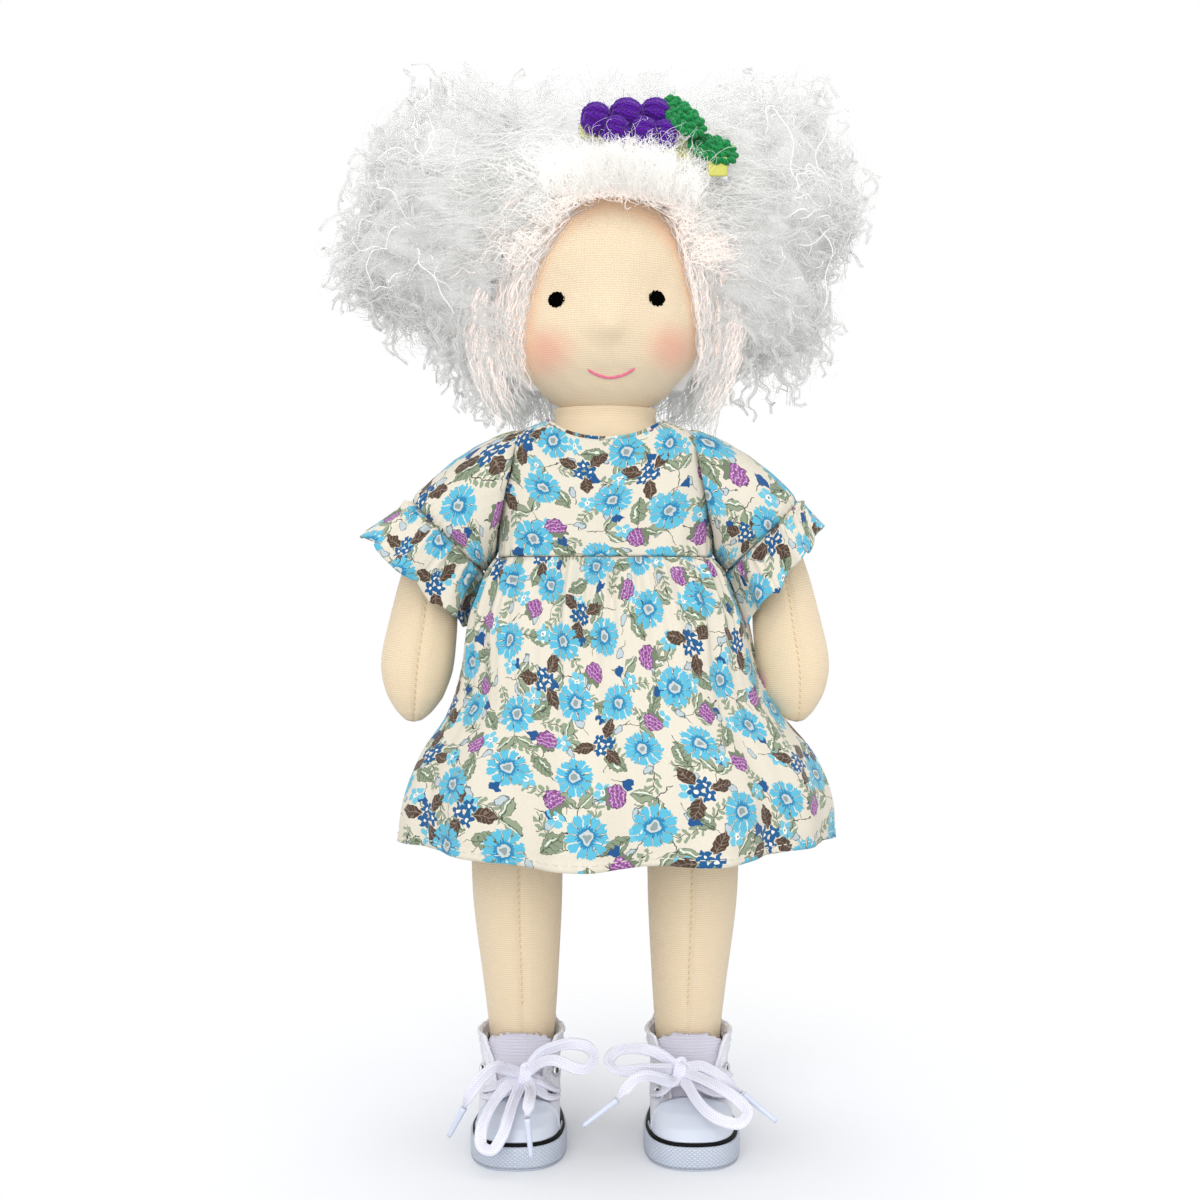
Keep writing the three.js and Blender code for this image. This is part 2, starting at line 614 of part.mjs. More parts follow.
// Sleeves puff out from the armhole to a gathered seam; a ruffle hangs from that seam.
// A station across the sleeve, from its upper edge to its lower edge.
function station(top, low, depth, along = 0) {
  const edge = v3(top.out - low.out, 0, top.z - low.z);
  const way = v3(edge.z, 0, -edge.x).normalize();
  const at = v3((top.out + low.out) / 2, 0, (top.z + low.z) / 2).addScaledVector(way, along);
  return { at, way, half: edge.length() / 2, depth };
}
const sleeveSeam = station(SLEEVE_TOP, SLEEVE_LOW, SLEEVE_DEPTH);
function makeSleeve(side) {
  const start = CHEST_HALF_WIDTH + WAIST_EXTRA + bodiceGrow + 2 * GAP;
  const { lerp } = THREE.MathUtils;
  const stations = [0, 0.3, 0.65, 1].map((t) => {
    const puff = SLEEVE_PUFF * Math.sin(Math.PI * t);
    return station(
      { out: lerp(start, SLEEVE_TOP.out, t), z: lerp(ARM_AXIS_Z + ARMHOLE_RADIUS, SLEEVE_TOP.z, t) + puff },
      { out: lerp(start, SLEEVE_LOW.out, t), z: lerp(ARM_AXIS_Z - ARMHOLE_RADIUS, SLEEVE_LOW.z, t) },
      lerp(ARMHOLE_RADIUS, SLEEVE_DEPTH, t) + puff,
    );
  });
  const wall = (inset) => stations.map((s) => ringAcross(s.at, s.way, s.half - inset, s.depth - inset, 24));
  const sleeve = skin([...wall(0), ...wall(CLOTH).reverse()], 'loop');
  add(`${side}_sleeve`, side === 'left' ? sleeve : mirrored(sleeve), finishes.cotton);

  const from = station(SLEEVE_TOP, SLEEVE_LOW, SLEEVE_DEPTH, GAP);
  const to = station(RUFFLE_TOP, RUFFLE_LOW, RUFFLE_DEPTH);
  const rows = 2;
  const frill = (inset) =>
    Array.from({ length: rows + 1 }, (_, r) => {
      const t = r / rows;
      const spread = Math.sin((t * Math.PI) / 2);
      const half = THREE.MathUtils.lerp(from.half, to.half, spread) - inset;
      const depth = THREE.MathUtils.lerp(from.depth, to.depth, spread) - inset;
      const wave = (a) => RUFFLE_WAVE * t * Math.cos(RUFFLE_WAVES * a);
      const way = from.way.clone().lerp(to.way, t).normalize();
      return ringAcross(from.at.clone().lerp(to.at, t), way, half, depth, 4 * RUFFLE_WAVES, wave);
    });
  const ruffle = skin([...frill(0), ...frill(CLOTH).reverse()], 'loop');
  add(`${side}_ruffle`, side === 'left' ? ruffle : mirrored(ruffle), finishes.cotton);
}

// Hair clip: a sprung pair of jaws; the upper one is bound in ribbon and carries the crochet work.
const clipPlace = v3(25, -27, 281.6);
const clipAlong = v3(-0.955, -0.2, 0.2).normalize(); // from the pin to the tip
const clipUp = v3(0.3, -0.72, 0.6).projectOnPlane(clipAlong).normalize();
const clipAcross = v3().crossVectors(clipUp, clipAlong).normalize();
const CLIP_HALF_WIDTH = 3.4;
const CLIP_TIP = 34;
const CLIP_TAIL = 9.5;
const JAW = 1;
const PIN_RADIUS = 0.8;
const PIN_Z = 3.2;
const PIN_PLAY = 0.15;

// A side outline in the clip's own plane, drawn along it and up from it, as wide as asked.
function clipPlate(points, y0, y1) {
  const outline = new THREE.Shape(points.map(([x, z]) => v2(x, z)));
  return new THREE.ExtrudeGeometry(outline, { depth: y1 - y0, bevelEnabled: false })
    .rotateX(Math.PI / 2)
    .translate(0, y1, 0);
}

const earIn = CLIP_HALF_WIDTH + GAP;
const earOut = earIn + JAW;
const clipTurn = new THREE.Matrix4().makeBasis(clipAlong, clipAcross, clipUp);

// The place in the hair that the clip's lower jaw presses into.
function clipSlot() {
  const half = earOut + GAP;
  return box(-CLIP_TAIL - 1, CLIP_TIP + GAP, -half, half, -GAP, PIN_Z * 4)
    .applyMatrix4(clipTurn)
    .translate(clipPlace.x, clipPlace.y, clipPlace.z);
}

function makeClip() {
  const clip = new THREE.Group();
  clip.position.copy(clipPlace);
  clip.setRotationFromMatrix(clipTurn);
  doll.add(clip);

  const pinHole = rod(PIN_RADIUS + PIN_PLAY, 4 * earOut, v3(0, 1, 0), v3(0, 0, PIN_Z));
  const floor = clipPlate([[-CLIP_TAIL, 0], [CLIP_TIP, 0], [CLIP_TIP, JAW], [-CLIP_TAIL, JAW]], -earOut, earOut);
  const earShape = [[-2.4, 0], [2.4, 0], [2.2, PIN_Z + 1.2], [1.2, PIN_Z + 2], [-1.2, PIN_Z + 2], [-2.2, PIN_Z + 1.2]];
  const base = join(floor, clipPlate(earShape, earIn, earOut), clipPlate(earShape, -earOut, -earIn));
  add('clip_base', cut(base, pinHole), finishes.steel, clip);

  const lever = clipPlate(
    [
      [CLIP_TIP, JAW + GAP],
      [CLIP_TIP, JAW + GAP + 0.9],
      [4, PIN_Z + 1.7],
      [-2, PIN_Z + 1.9],
      [-CLIP_TAIL, PIN_Z + 4.4],
      [-CLIP_TAIL - 0.4, PIN_Z + 3.4],
      [-2.4, PIN_Z - 1.2],
      [1.6, PIN_Z - 1.6],
      [6, JAW + GAP + 0.4],
    ],
    -CLIP_HALF_WIDTH,
    CLIP_HALF_WIDTH,
  );
  add('clip_lever', cut(lever, pinHole), finishes.ribbon, clip);
  add('clip_pin', rod(PIN_RADIUS, 2 * earOut + 1, v3(0, 1, 0), v3(0, 0, PIN_Z), 12), finishes.steel, clip);

  const leverTop = (x) => THREE.MathUtils.lerp(PIN_Z + 1.7, JAW + GAP + 0.9, (x - 4) / (CLIP_TIP - 4));
  const berry = (x, y, radius) =>
    new THREE.SphereGeometry(radius, 8, 6).translate(x, y, leverTop(x) + GAP + radius - 0.2);
  const bunch = [
    [32, -1.5, 4.1],
    [24.5, -3.4, 4.8],
    [15.8, -6.2, 4.6],
    [26, 3.2, 4.2],
    [18.6, 2.4, 4.4],
    [12.8, 1.8, 3.9],
  ].map(([x, y, radius]) => berry(x, y, radius));
  const bedStart = 11;
  const bedLow = leverTop(bedStart) + GAP;
  const bed = box(bedStart, CLIP_TIP - 1, -CLIP_HALF_WIDTH, CLIP_HALF_WIDTH - 0.4, bedLow, bedLow + 4.4);
  add('grapes', join(bed, ...bunch), finishes.grape, clip);

  const leafHalf = 1.4;
  const leaf = (length, width, x, y, turn, seat) =>
    new THREE.SphereGeometry(1, 14, 4)
      .scale(length / 2, width / 2, leafHalf)
      .rotateZ(turn)
      .translate(x, y, seat + GAP + leafHalf);
  add('upper_leaf', leaf(15, 6.6, 6.6, -5.6, -0.9, PIN_Z + 4.4), finishes.leaf, clip);
  add('lower_leaf', leaf(14, 7.4, -2.6, 3.6, 0.25, PIN_Z + 3.4), finishes.leaf, clip);
}

// The sole's outline, drawn in by an inset: half of it is a smooth curve and the other half its mirror.
function soleOutline(inset = 0) {
  const length = HEEL_Y - TOE_Y;
  const half = [
    [0, 0],
    [0.52, 0.03],
    [0.85, 0.13],
    [1, 0.32],
    [0.96, 0.52],
    [0.84, 0.72],
    [0.76, 0.88],
    [0.42, 0.985],
    [0, 1],
  ].map(([w, l]) => v2(w * SHOE_HALF_WIDTH, TOE_Y + l * length));
  const curve = new THREE.CatmullRomCurve3(
    [...half, ...half.slice(1, -1).reverse().map((p) => v2(-p.x, p.y))].map((p) => v3(p.x, p.y, 0)),
    true,
    'centripetal',
  );
  const count = 24;
  return Array.from({ length: count }, (_, i) => {
    const t = i / count;
    const way = curve.getTangent(t);
    const p = curve.getPoint(t);
    return v2(p.x - way.y * inset, p.y + way.x * inset);
  });
}

// The shoe's outer form: the sole outline carried up, its front drawn back over the toes to the collar.
function shoeForm(inset, topZ) {
  const outline = soleOutline(FOXING_WALL + GAP);
  const front = TOE_Y + FOXING_WALL + GAP;
  const back = HEEL_Y - FOXING_WALL - GAP;
  const stations = [
    [SOLE_THICK + GAP, front, back, 1],
    [FOXING_TOP_Z, front, back, 1],
    [TOE_CAP_TOP_Z - 5, front + 2, back + 0.1, 1],
    [TOE_CAP_TOP_Z - 2.3, front + 6, back + 0.2, 1],
    [TOE_CAP_TOP_Z - 0.9, front + 10, back + 0.2, 1],
    [TOE_CAP_TOP_Z, TOE_CAP_BACK_Y + 0.4, back + 0.2, 1],
    [TOE_CAP_TOP_Z + 3.2, TOE_CAP_BACK_Y + 3, back, 0.99],
    [COLLAR_Z - 4, COLLAR_FRONT_Y - 0.8, COLLAR_BACK_Y - 1, COLLAR_HALF_WIDTH / (SHOE_HALF_WIDTH - FOXING_WALL)],
    [COLLAR_Z, COLLAR_FRONT_Y, COLLAR_BACK_Y, COLLAR_HALF_WIDTH / (SHOE_HALF_WIDTH - FOXING_WALL)],
    [topZ, COLLAR_FRONT_Y + 0.4, COLLAR_BACK_Y, COLLAR_HALF_WIDTH / (SHOE_HALF_WIDTH - FOXING_WALL)],
  ];
  const rings = stations.map(([z, y0, y1, width], i) =>
    outline.map((p) => {
      const share = (p.y - front) / (back - front);
      const y = THREE.MathUtils.lerp(y0 + inset, y1 - inset, share);
      const x = p.x * width * (1 - inset / SHOE_HALF_WIDTH);
      const lowered = i > 1 && i < 7 ? inset * 0.8 : 0;
      return v3(x, y, z - lowered);
    }),
  );
  return skin(rings);
}

function flatLace(points, steps) {
  return tube(points, LACE_WIDTH / 2, LACE_THICK / 2, steps);
}

function makeShoe(side, laces) {
  const out = side === 'left' ? 1 : -1;
  const place = (geometry) => geometry.translate(out * SHOE_SPREAD, 0, 0);
  const far = 60;

  const sole = new THREE.ExtrudeGeometry(new THREE.Shape(soleOutline()), { depth: SOLE_THICK, bevelEnabled: false });
  add(`${side}_outsole`, place(sole), finishes.sole);

  const band = (inset, z) => soleOutline(inset).map((p) => v3(p.x, p.y, z));
  const foxing = skin(
    [
      band(0, SOLE_THICK + GAP),
      band(0, FOXING_TOP_Z),
      band(FOXING_WALL, FOXING_TOP_Z),
      band(FOXING_WALL, SOLE_THICK + GAP),
    ],
    'loop',
  );
  add(`${side}_foxing`, place(foxing), finishes.sole);

  const shell = cut(shoeForm(0, COLLAR_Z + 0.2), shoeForm(CANVAS, COLLAR_Z + 8));
  const toeSpace = box(-far, far, -far, TOE_CAP_BACK_Y, 0, COLLAR_Z);
  const quarterSpace = box(-far, far, TOE_CAP_BACK_Y + GAP, far, 0, COLLAR_Z);
  const throat = box(
    -THROAT_HALF_WIDTH,
    THROAT_HALF_WIDTH,
    -far,
    (COLLAR_FRONT_Y + COLLAR_BACK_Y) / 2,
    TOE_CAP_TOP_Z - 2.2,
    far,
  );
  add(`${side}_toe_cap`, place(common(shell, toeSpace)), finishes.toeCap);
  add(`${side}_upper`, place(cut(common(shell, quarterSpace), throat)), finishes.canvas);

  const tongueShell = cut(
    shoeForm(CANVAS + GAP, TONGUE_TOP_Z),
    shoeForm(2 * CANVAS + GAP, TONGUE_TOP_Z + 8),
  );
  const tongueSpace = box(
    -TONGUE_HALF_WIDTH,
    TONGUE_HALF_WIDTH,
    TOE_CAP_BACK_Y - 4,
    -3,
    TOE_CAP_TOP_Z - 5,
    TONGUE_TOP_Z - 0.4,
  );
  add(`${side}_tongue`, place(common(tongueShell, tongueSpace)), finishes.canvas);

  const knotSize = v3(3, 2.4, 2.7);
  const knotForm = (grow) =>
    new THREE.SphereGeometry(1, 10, 6)
      .scale(knotSize.x + grow, knotSize.y + grow, knotSize.z + grow)
      .translate(laces.knot.x, laces.knot.y, laces.knot.z);
  const bars = laces.bars.map((points) => flatLace(points, 4));
  const clear = place(shoeForm(-GAP, COLLAR_Z));
  add(`${side}_lacing`, cut(join(knotForm(0), ...bars), clear), finishes.lace);
  for (const [name, points] of Object.entries(laces.free)) {
    const steps = name.endsWith('loop') ? 12 : 6;
    add(`${side}_${name}`, cut(flatLace(points, steps), knotForm(GAP)), finishes.lace);
  }
  for (const [name, [from, to]] of Object.entries(laces.aglets)) {
    const way = to.clone().sub(from);
    add(
      `${side}_${name}`,
      rod(AGLET_RADIUS, way.length(), way, from.clone().add(to).divideScalar(2), 10),
      finishes.aglet,
    );
  }
}

// The tied laces: two loops and two tails leave each knot, and every tail ends in an aglet.
const route = (list) => list.map(([x, y, z]) => v3(x, y, z));
const rightLaces = {
  knot: v3(-23.2, -18.2, 21.9),
  bars: [
    route([[-23.2, -18, 22], [-27, -17.2, 20.5], [-31, -15.6, 18.6], [-34.4, -12.9, 17]]),
    route([[-23.2, -18, 22], [-19, -17.2, 20.5], [-15.4, -15, 18.4], [-12.6, -11.8, 16.8]]),
    route([[-23.2, -18, 21], [-27, -18.8, 18.4], [-31, -18, 15.8], [-34.6, -14.6, 13.8]]),
    route([[-23.2, -18, 21], [-19.4, -18.9, 18.4], [-15.8, -18, 15.6], [-12.2, -14.4, 13.6]]),
  ],
  free: {
    inner_loop: route([
      [-22, -18.8, 23.6], [-17.9, -22.4, 27.3], [-14.1, -24.6, 28.4], [-9.2, -25.6, 26.8], [-5.8, -25.6, 26.4],
      [-3.4, -23.6, 29], [-5, -21.6, 31.2], [-9.6, -20.4, 32], [-14.2, -19.8, 31], [-18.4, -19, 28.8], [-21.8, -18.4, 24.4],
    ]),
    front_loop: route([
      [-24, -19.4, 20.4], [-25.9, -26.6, 17.6], [-27.1, -32, 14.6], [-28.5, -36, 11.1], [-31.2, -37.8, 7.8],
      [-33.9, -38.2, 9], [-34.3, -36.8, 12.5], [-33.2, -32.8, 15.4], [-30.9, -27.8, 18.4], [-28, -24, 21], [-24.6, -19.6, 21.6],
    ]),
    outer_tail: route([
      [-24, -19, 22.8], [-28.2, -24.6, 26], [-31, -29.2, 28], [-34, -31.8, 26.4], [-36.4, -32.8, 23.6],
      [-38.2, -32.4, 20.6], [-39.4, -31, 17.6],
    ]),
    front_tail: route([
      [-22.6, -19, 21.4], [-21.2, -25, 20.8], [-20.9, -30, 20.9], [-21, -34.4, 20.6], [-21.2, -37.6, 19.6], [-21.4, -39, 17.6],
    ]),
  },
  aglets: {
    outer_aglet: route([[-39.6, -30.8, 17], [-43.9, -28.6, 8.4]]),
    front_aglet: route([[-21.4, -39.3, 17], [-20.3, -40, 6.6]]),
  },
};
const leftLaces = {
  knot: v3(21.2, -18.2, 23.4),
  bars: [
    route([[21.2, -18, 23.6], [17.4, -17, 22.4], [14.4, -15.2, 21.2], [12.1, -12.2, 19.6]]),
    route([[21.2, -18, 23.6], [26.4, -16.6, 23.2], [31.6, -14.2, 21.4], [35, -11.4, 19.6]]),
    route([[21.2, -18, 22.6], [18, -18.6, 19.8], [14.8, -17.8, 16.6], [12, -14.4, 14]]),
    route([[21.2, -18, 22.6], [26, -18.8, 20], [31, -18, 16.4], [34.6, -14.6, 13.9]]),
  ],
  free: {
    inner_loop: route([
      [20, -18.8, 24.2], [15.6, -22.6, 25.4], [11.2, -24.8, 26], [5.8, -25.8, 25.8], [2.4, -25.4, 26.4],
      [1.1, -23.4, 28], [2.6, -21.4, 29.6], [5.6, -20.4, 30.4], [10.2, -19.6, 30.2], [15.2, -19.2, 28.8], [20, -18.6, 25.2],
    ]),
    front_loop: route([
      [22.2, -19, 23.6], [27.5, -24.6, 23.2], [32.5, -29.4, 22], [37, -32.8, 19.8], [39.4, -34.4, 17],
      [37.4, -35.4, 14.4], [32.8, -35, 14.8], [28.5, -32.4, 16.4], [25.4, -28, 18.8], [23.6, -23.4, 20.8], [21.8, -19, 22],
    ]),
    outer_tail: route([
      [22.6, -18.4, 24], [27, -20.4, 25.6], [31, -22.4, 24.4], [35, -25, 22], [38.3, -28, 20.5],
    ]),
    inner_tail: route([
      [20.6, -19.6, 22.2], [18.6, -24, 22.2], [15.2, -27.8, 24.4], [11.6, -30.4, 26], [8.2, -32, 25.4], [5.6, -33, 23], [3.8, -33.2, 20.6],
    ]),
  },
  aglets: {
    outer_aglet: route([[38.7, -28.4, 20.2], [47.8, -31.2, 13.4]]),
    inner_aglet: route([[3.3, -33.2, 20.1], [-6.2, -33.6, 13]]),
  },
};

makeTorso();
makeHead();
makeHair();
makeClip();
makeHipSeam();
makeBodice();
makeSkirt();
for (const side of ['left', 'right']) {
  makeArm(side);
  makeLeg(side);
  makeSleeve(side);
  makeShoe(side, side === 'left' ? leftLaces : rightLaces);
}

export default doll;
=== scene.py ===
import math

import bmesh
import bpy
import numpy as np
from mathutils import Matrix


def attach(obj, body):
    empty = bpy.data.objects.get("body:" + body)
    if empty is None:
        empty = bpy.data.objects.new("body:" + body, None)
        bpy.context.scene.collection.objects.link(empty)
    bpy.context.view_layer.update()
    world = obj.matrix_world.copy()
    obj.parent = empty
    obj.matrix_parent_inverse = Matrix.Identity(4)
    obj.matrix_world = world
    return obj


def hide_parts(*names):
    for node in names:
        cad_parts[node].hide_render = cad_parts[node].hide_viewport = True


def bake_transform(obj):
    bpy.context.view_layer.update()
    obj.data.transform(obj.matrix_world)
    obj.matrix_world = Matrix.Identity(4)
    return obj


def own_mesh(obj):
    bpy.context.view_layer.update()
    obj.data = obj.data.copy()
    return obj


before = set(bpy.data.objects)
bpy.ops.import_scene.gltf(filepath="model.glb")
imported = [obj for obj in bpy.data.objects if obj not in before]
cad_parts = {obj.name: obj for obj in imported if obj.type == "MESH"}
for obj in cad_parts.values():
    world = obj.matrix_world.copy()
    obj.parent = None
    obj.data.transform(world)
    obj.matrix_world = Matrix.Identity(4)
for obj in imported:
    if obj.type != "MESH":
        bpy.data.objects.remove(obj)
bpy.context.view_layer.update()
mm = 0.001
bothSides = (("left", 1), ("right", -1))
print("frame loaded")


# Small tools

def linear(hexText):
    # sRGB to linear light: c / 12.92 for dark values, ((c + 0.055) / 1.055) ^ 2.4 for the rest
    values = [int(hexText[i:i + 2], 16) / 255 for i in (1, 3, 5)]
    return (*[c / 12.92 if c <= 0.04045 else ((c + 0.055) / 1.055) ** 2.4 for c in values], 1.0)


def add(tree, kind, inputs=(), **settings):
    # Adds one node: settings are its own properties, inputs are sockets to link or values to set
    node = tree.nodes.new("ShaderNode" + kind)
    for key, value in settings.items():
        setattr(node, key, value)
    for key, value in inputs.items() if isinstance(inputs, dict) else enumerate(inputs):
        if isinstance(value, bpy.types.Node):
            value = value.outputs[0]
        if isinstance(value, bpy.types.NodeSocket):
            tree.links.new(value, node.inputs[key])
        else:
            node.inputs[key].default_value = value
    return node


def newMaterial(name, roughness, color="#ffffff", **more):
    # A Principled material; more holds other sockets of the shader by name, with _ for a space
    made = bpy.data.materials.new(name)
    made.use_nodes = True
    shader = made.node_tree.nodes["Principled BSDF"]
    shader.inputs["Base Color"].default_value = linear(color)
    shader.inputs["Roughness"].default_value = roughness
    for key, value in more.items():
        shader.inputs[key.replace("_", " ")].default_value = value
    return made, made.node_tree, shader


def plainMaterial(name, roughness, color, **more):
    return newMaterial(name, roughness, color, **more)[0]


def objectPlace(tree):
    # Place on the piece in metres
    return add(tree, "TexCoord").outputs["Object"]


def clothPlace(tree):
    # Millimetres along and across the cloth
    parts = add(tree, "SeparateXYZ", (add(tree, "UVMap", uv_map="cloth"),))
    return {"u": parts.outputs["X"], "v": parts.outputs["Y"]}


def formula(tree, known, lines):
    # Arithmetic as a table: each line names a value, then the operation and what it works on
    for line in lines.strip().splitlines():
        name, operation, *parts = line.split()
        values = [known[part] if part in known else float(part) for part in parts]
        known[name] = add(tree, "Math", values, operation=operation).outputs[0]
    return known


def mixColors(tree, share, low, high):
    return add(tree, "Mix", {"Factor": share, "A": low, "B": high}, data_type="RGBA").outputs["Result"]


def paint(tree, shader, color, share):
    # The shader's colour is a colour times a share
    tone = add(tree, "VectorMath", {0: color, "Scale": share}, operation="SCALE")
    tree.links.new(tone.outputs[0], shader.inputs["Base Color"])


def bumpInto(tree, shader, height, distance, strength=1.0):
    bump = add(tree, "Bump", {"Height": height, "Distance": distance, "Strength": strength})
    tree.links.new(bump.outputs[0], shader.inputs["Normal"])


def smooth(knots, count):
    # Centripetal Catmull-Rom curve: between two knots a cubic whose end slopes come from
    # their neighbours, with each span's time the square root of its length
    p = np.asarray(knots, float)
    p = np.vstack([2 * p[0] - p[1], p, 2 * p[-1] - p[-2]])
    t = np.linspace(0, len(p) - 3, count)
    i = np.minimum(t.astype(int), len(p) - 4)
    w = (t - i)[:, None]
    p0, p1, p2, p3 = p[i], p[i + 1], p[i + 2], p[i + 3]
    d0, d1, d2 = [np.sqrt(np.linalg.norm(b - a, axis=1, keepdims=True)) + 1e-9
                  for a, b in ((p0, p1), (p1, p2), (p2, p3))]
    m1 = ((p1 - p0) / d0 - (p2 - p0) / (d0 + d1) + (p2 - p1) / d1) * d1
    m2 = ((p2 - p1) / d1 - (p3 - p1) / (d1 + d2) + (p3 - p2) / d2) * d1
    return (p1 + m1 * w + (3 * (p2 - p1) - 2 * m1 - m2) * w ** 2 + (2 * (p1 - p2) + m1 + m2) * w ** 3)


def step(x, low, high):
    # Smoothstep: 0 below low, 1 above high, 3t^2 - 2t^3 between
    t = np.clip((np.asarray(x, float) - low) / (high - low), 0, 1)
    return t * t * (3 - 2 * t)


def bell(x, middle, spread):
    return np.exp(-((x - middle) / spread) ** 2)


def unit(v):
    return v / np.maximum(np.linalg.norm(v, axis=-1, keepdims=True), 1e-12)


def fullTurn(count):
    # Angles evenly round a circle, the first one not repeated
    return 2 * np.pi * np.arange(count) / count


def distances(line):
    # How far along a line of points each of them is
    return np.concatenate([[0], np.cumsum(np.linalg.norm(np.diff(line, axis=0), axis=1))])


def pointsAt(line, long, at):
    # Points of a line, long giving each of its own points' place and at the places that are wanted
    return np.stack([np.interp(at, long, line[:, i]) for i in range(3)], -1)


def readTable(x, table):
    # A table of (x, value) rows, read at x, straight between the rows
    return np.interp(x, [row[0] for row in table], [row[1] for row in table])


def putMesh(name, points, quads, triangles, material, uv=None):
    # Puts arrays into a new mesh object; points in millimetres, uv one row for each face corner
    points = np.asarray(points, float).reshape(-1, 3) * mm
    mesh = bpy.data.meshes.new(name)
    quads = np.asarray(quads, int).reshape(-1, 4)
    triangles = np.asarray(triangles, int).reshape(-1, 3)
    corners = np.concatenate([quads.ravel(), triangles.ravel()])
    starts = np.concatenate([np.arange(len(quads)) * 4, len(quads) * 4 + np.arange(len(triangles)) * 3])
    mesh.vertices.add(len(points))
    mesh.vertices.foreach_set("co", points.astype(np.float32).ravel())
    mesh.loops.add(len(corners))
    mesh.loops.foreach_set("vertex_index", corners.astype(np.int32))
    mesh.polygons.add(len(starts))
    mesh.polygons.foreach_set("loop_start", starts.astype(np.int32))
    if uv is not None:
        layer = mesh.uv_layers.new(name="cloth")
        layer.uv.foreach_set("vector", np.asarray(uv, np.float32).ravel())
    mesh.update(calc_edges=True)
    mesh.shade_smooth()
    mesh.materials.append(material)
    made = bpy.data.objects.new(name, mesh)
    bpy.context.scene.collection.objects.link(made)
    return made


def place(piece, body, slot, *nodes):
    # The piece rides on a body and stands for the nodes named; slot is not used
    if nodes:
        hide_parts(*nodes)
    if body:
        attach(piece, body)
    return piece


def gridQuads(rows, cols, closed):
    # Corner numbers of a grid's quads, row by row; the last column joins the first if closed
    r, c = np.meshgrid(np.arange(rows - 1), np.arange(cols if closed else cols - 1), indexing="ij")
    n = (c + 1) % cols
    return np.stack([r * cols + c, r * cols + n, (r + 1) * cols + n, (r + 1) * cols + c], -1).reshape(-1, 4)


def gridUv(uv):
    # Corner values for gridQuads, from a table with one column more than the quads have
    return np.stack([uv[:-1, :-1], uv[:-1, 1:], uv[1:, 1:], uv[1:, :-1]], 2).reshape(-1, 2)


def measured(grid, rows=slice(None)):
    # Millimetres of cloth along and across a closed grid, measured along the named rows and all columns
    wrapped = np.concatenate([grid, grid[:, :1]], 1)
    across = np.linalg.norm(np.diff(wrapped[rows], axis=1), axis=2).mean(0)
    down = np.linalg.norm(np.diff(grid, axis=0), axis=2).mean(1)
    u = np.concatenate([[0], np.cumsum(across)])
    v = np.concatenate([[0], np.cumsum(down)])
    return np.stack(np.meshgrid(u, v), -1)


def skinOf(name, grid, material, closed=True, caps=(False, False), flip=False, uv=None, shift=(0, 0)):
    # A grid of points as a surface: caps close the first and last row with a fan about its middle
    rows, cols = grid.shape[:2]
    quads = gridQuads(rows, cols, closed)
    if uv is None:
        uv = measured(grid) if closed else measured(grid)[:, :-1]
    corners = gridUv(uv + np.array(shift))
    points = [grid.reshape(-1, 3)]
    triangles = []
    extra = []
    count = rows * cols
    for end, row in ((0, 0), (1, rows - 1)):
        if caps[end]:
            points.append(grid[row].mean(0)[None])
            c = np.arange(cols)
            a, b = row * cols + c, row * cols + (c + 1) % cols
            fan = (b, a) if end == 0 else (a, b)
            triangles.append(np.stack([fan[0], fan[1], np.full(cols, count)], 1))
            extra.append(np.zeros((cols * 3, 2)) + uv[row].mean(0))
            count += 1
    triangles = np.concatenate(triangles) if triangles else np.zeros((0, 3), int)
    corners = np.concatenate([corners, *extra])
    if flip:
        corners = np.concatenate([part.reshape(-1, n, 2)[:, ::-1].reshape(-1, 2) for part, n in
                                  ((corners[:len(quads) * 4], 4), (corners[len(quads) * 4:], 3))])
        quads, triangles = quads[:, ::-1], triangles[:, ::-1]
    return putMesh(name, np.concatenate(points), quads, triangles, material, corners)


def thicken(piece, thickness, offset=-1.0):
    wall = piece.modifiers.new("wall", "SOLIDIFY")
    wall.thickness = thickness * mm
    wall.offset = offset
    wall.use_rim = True


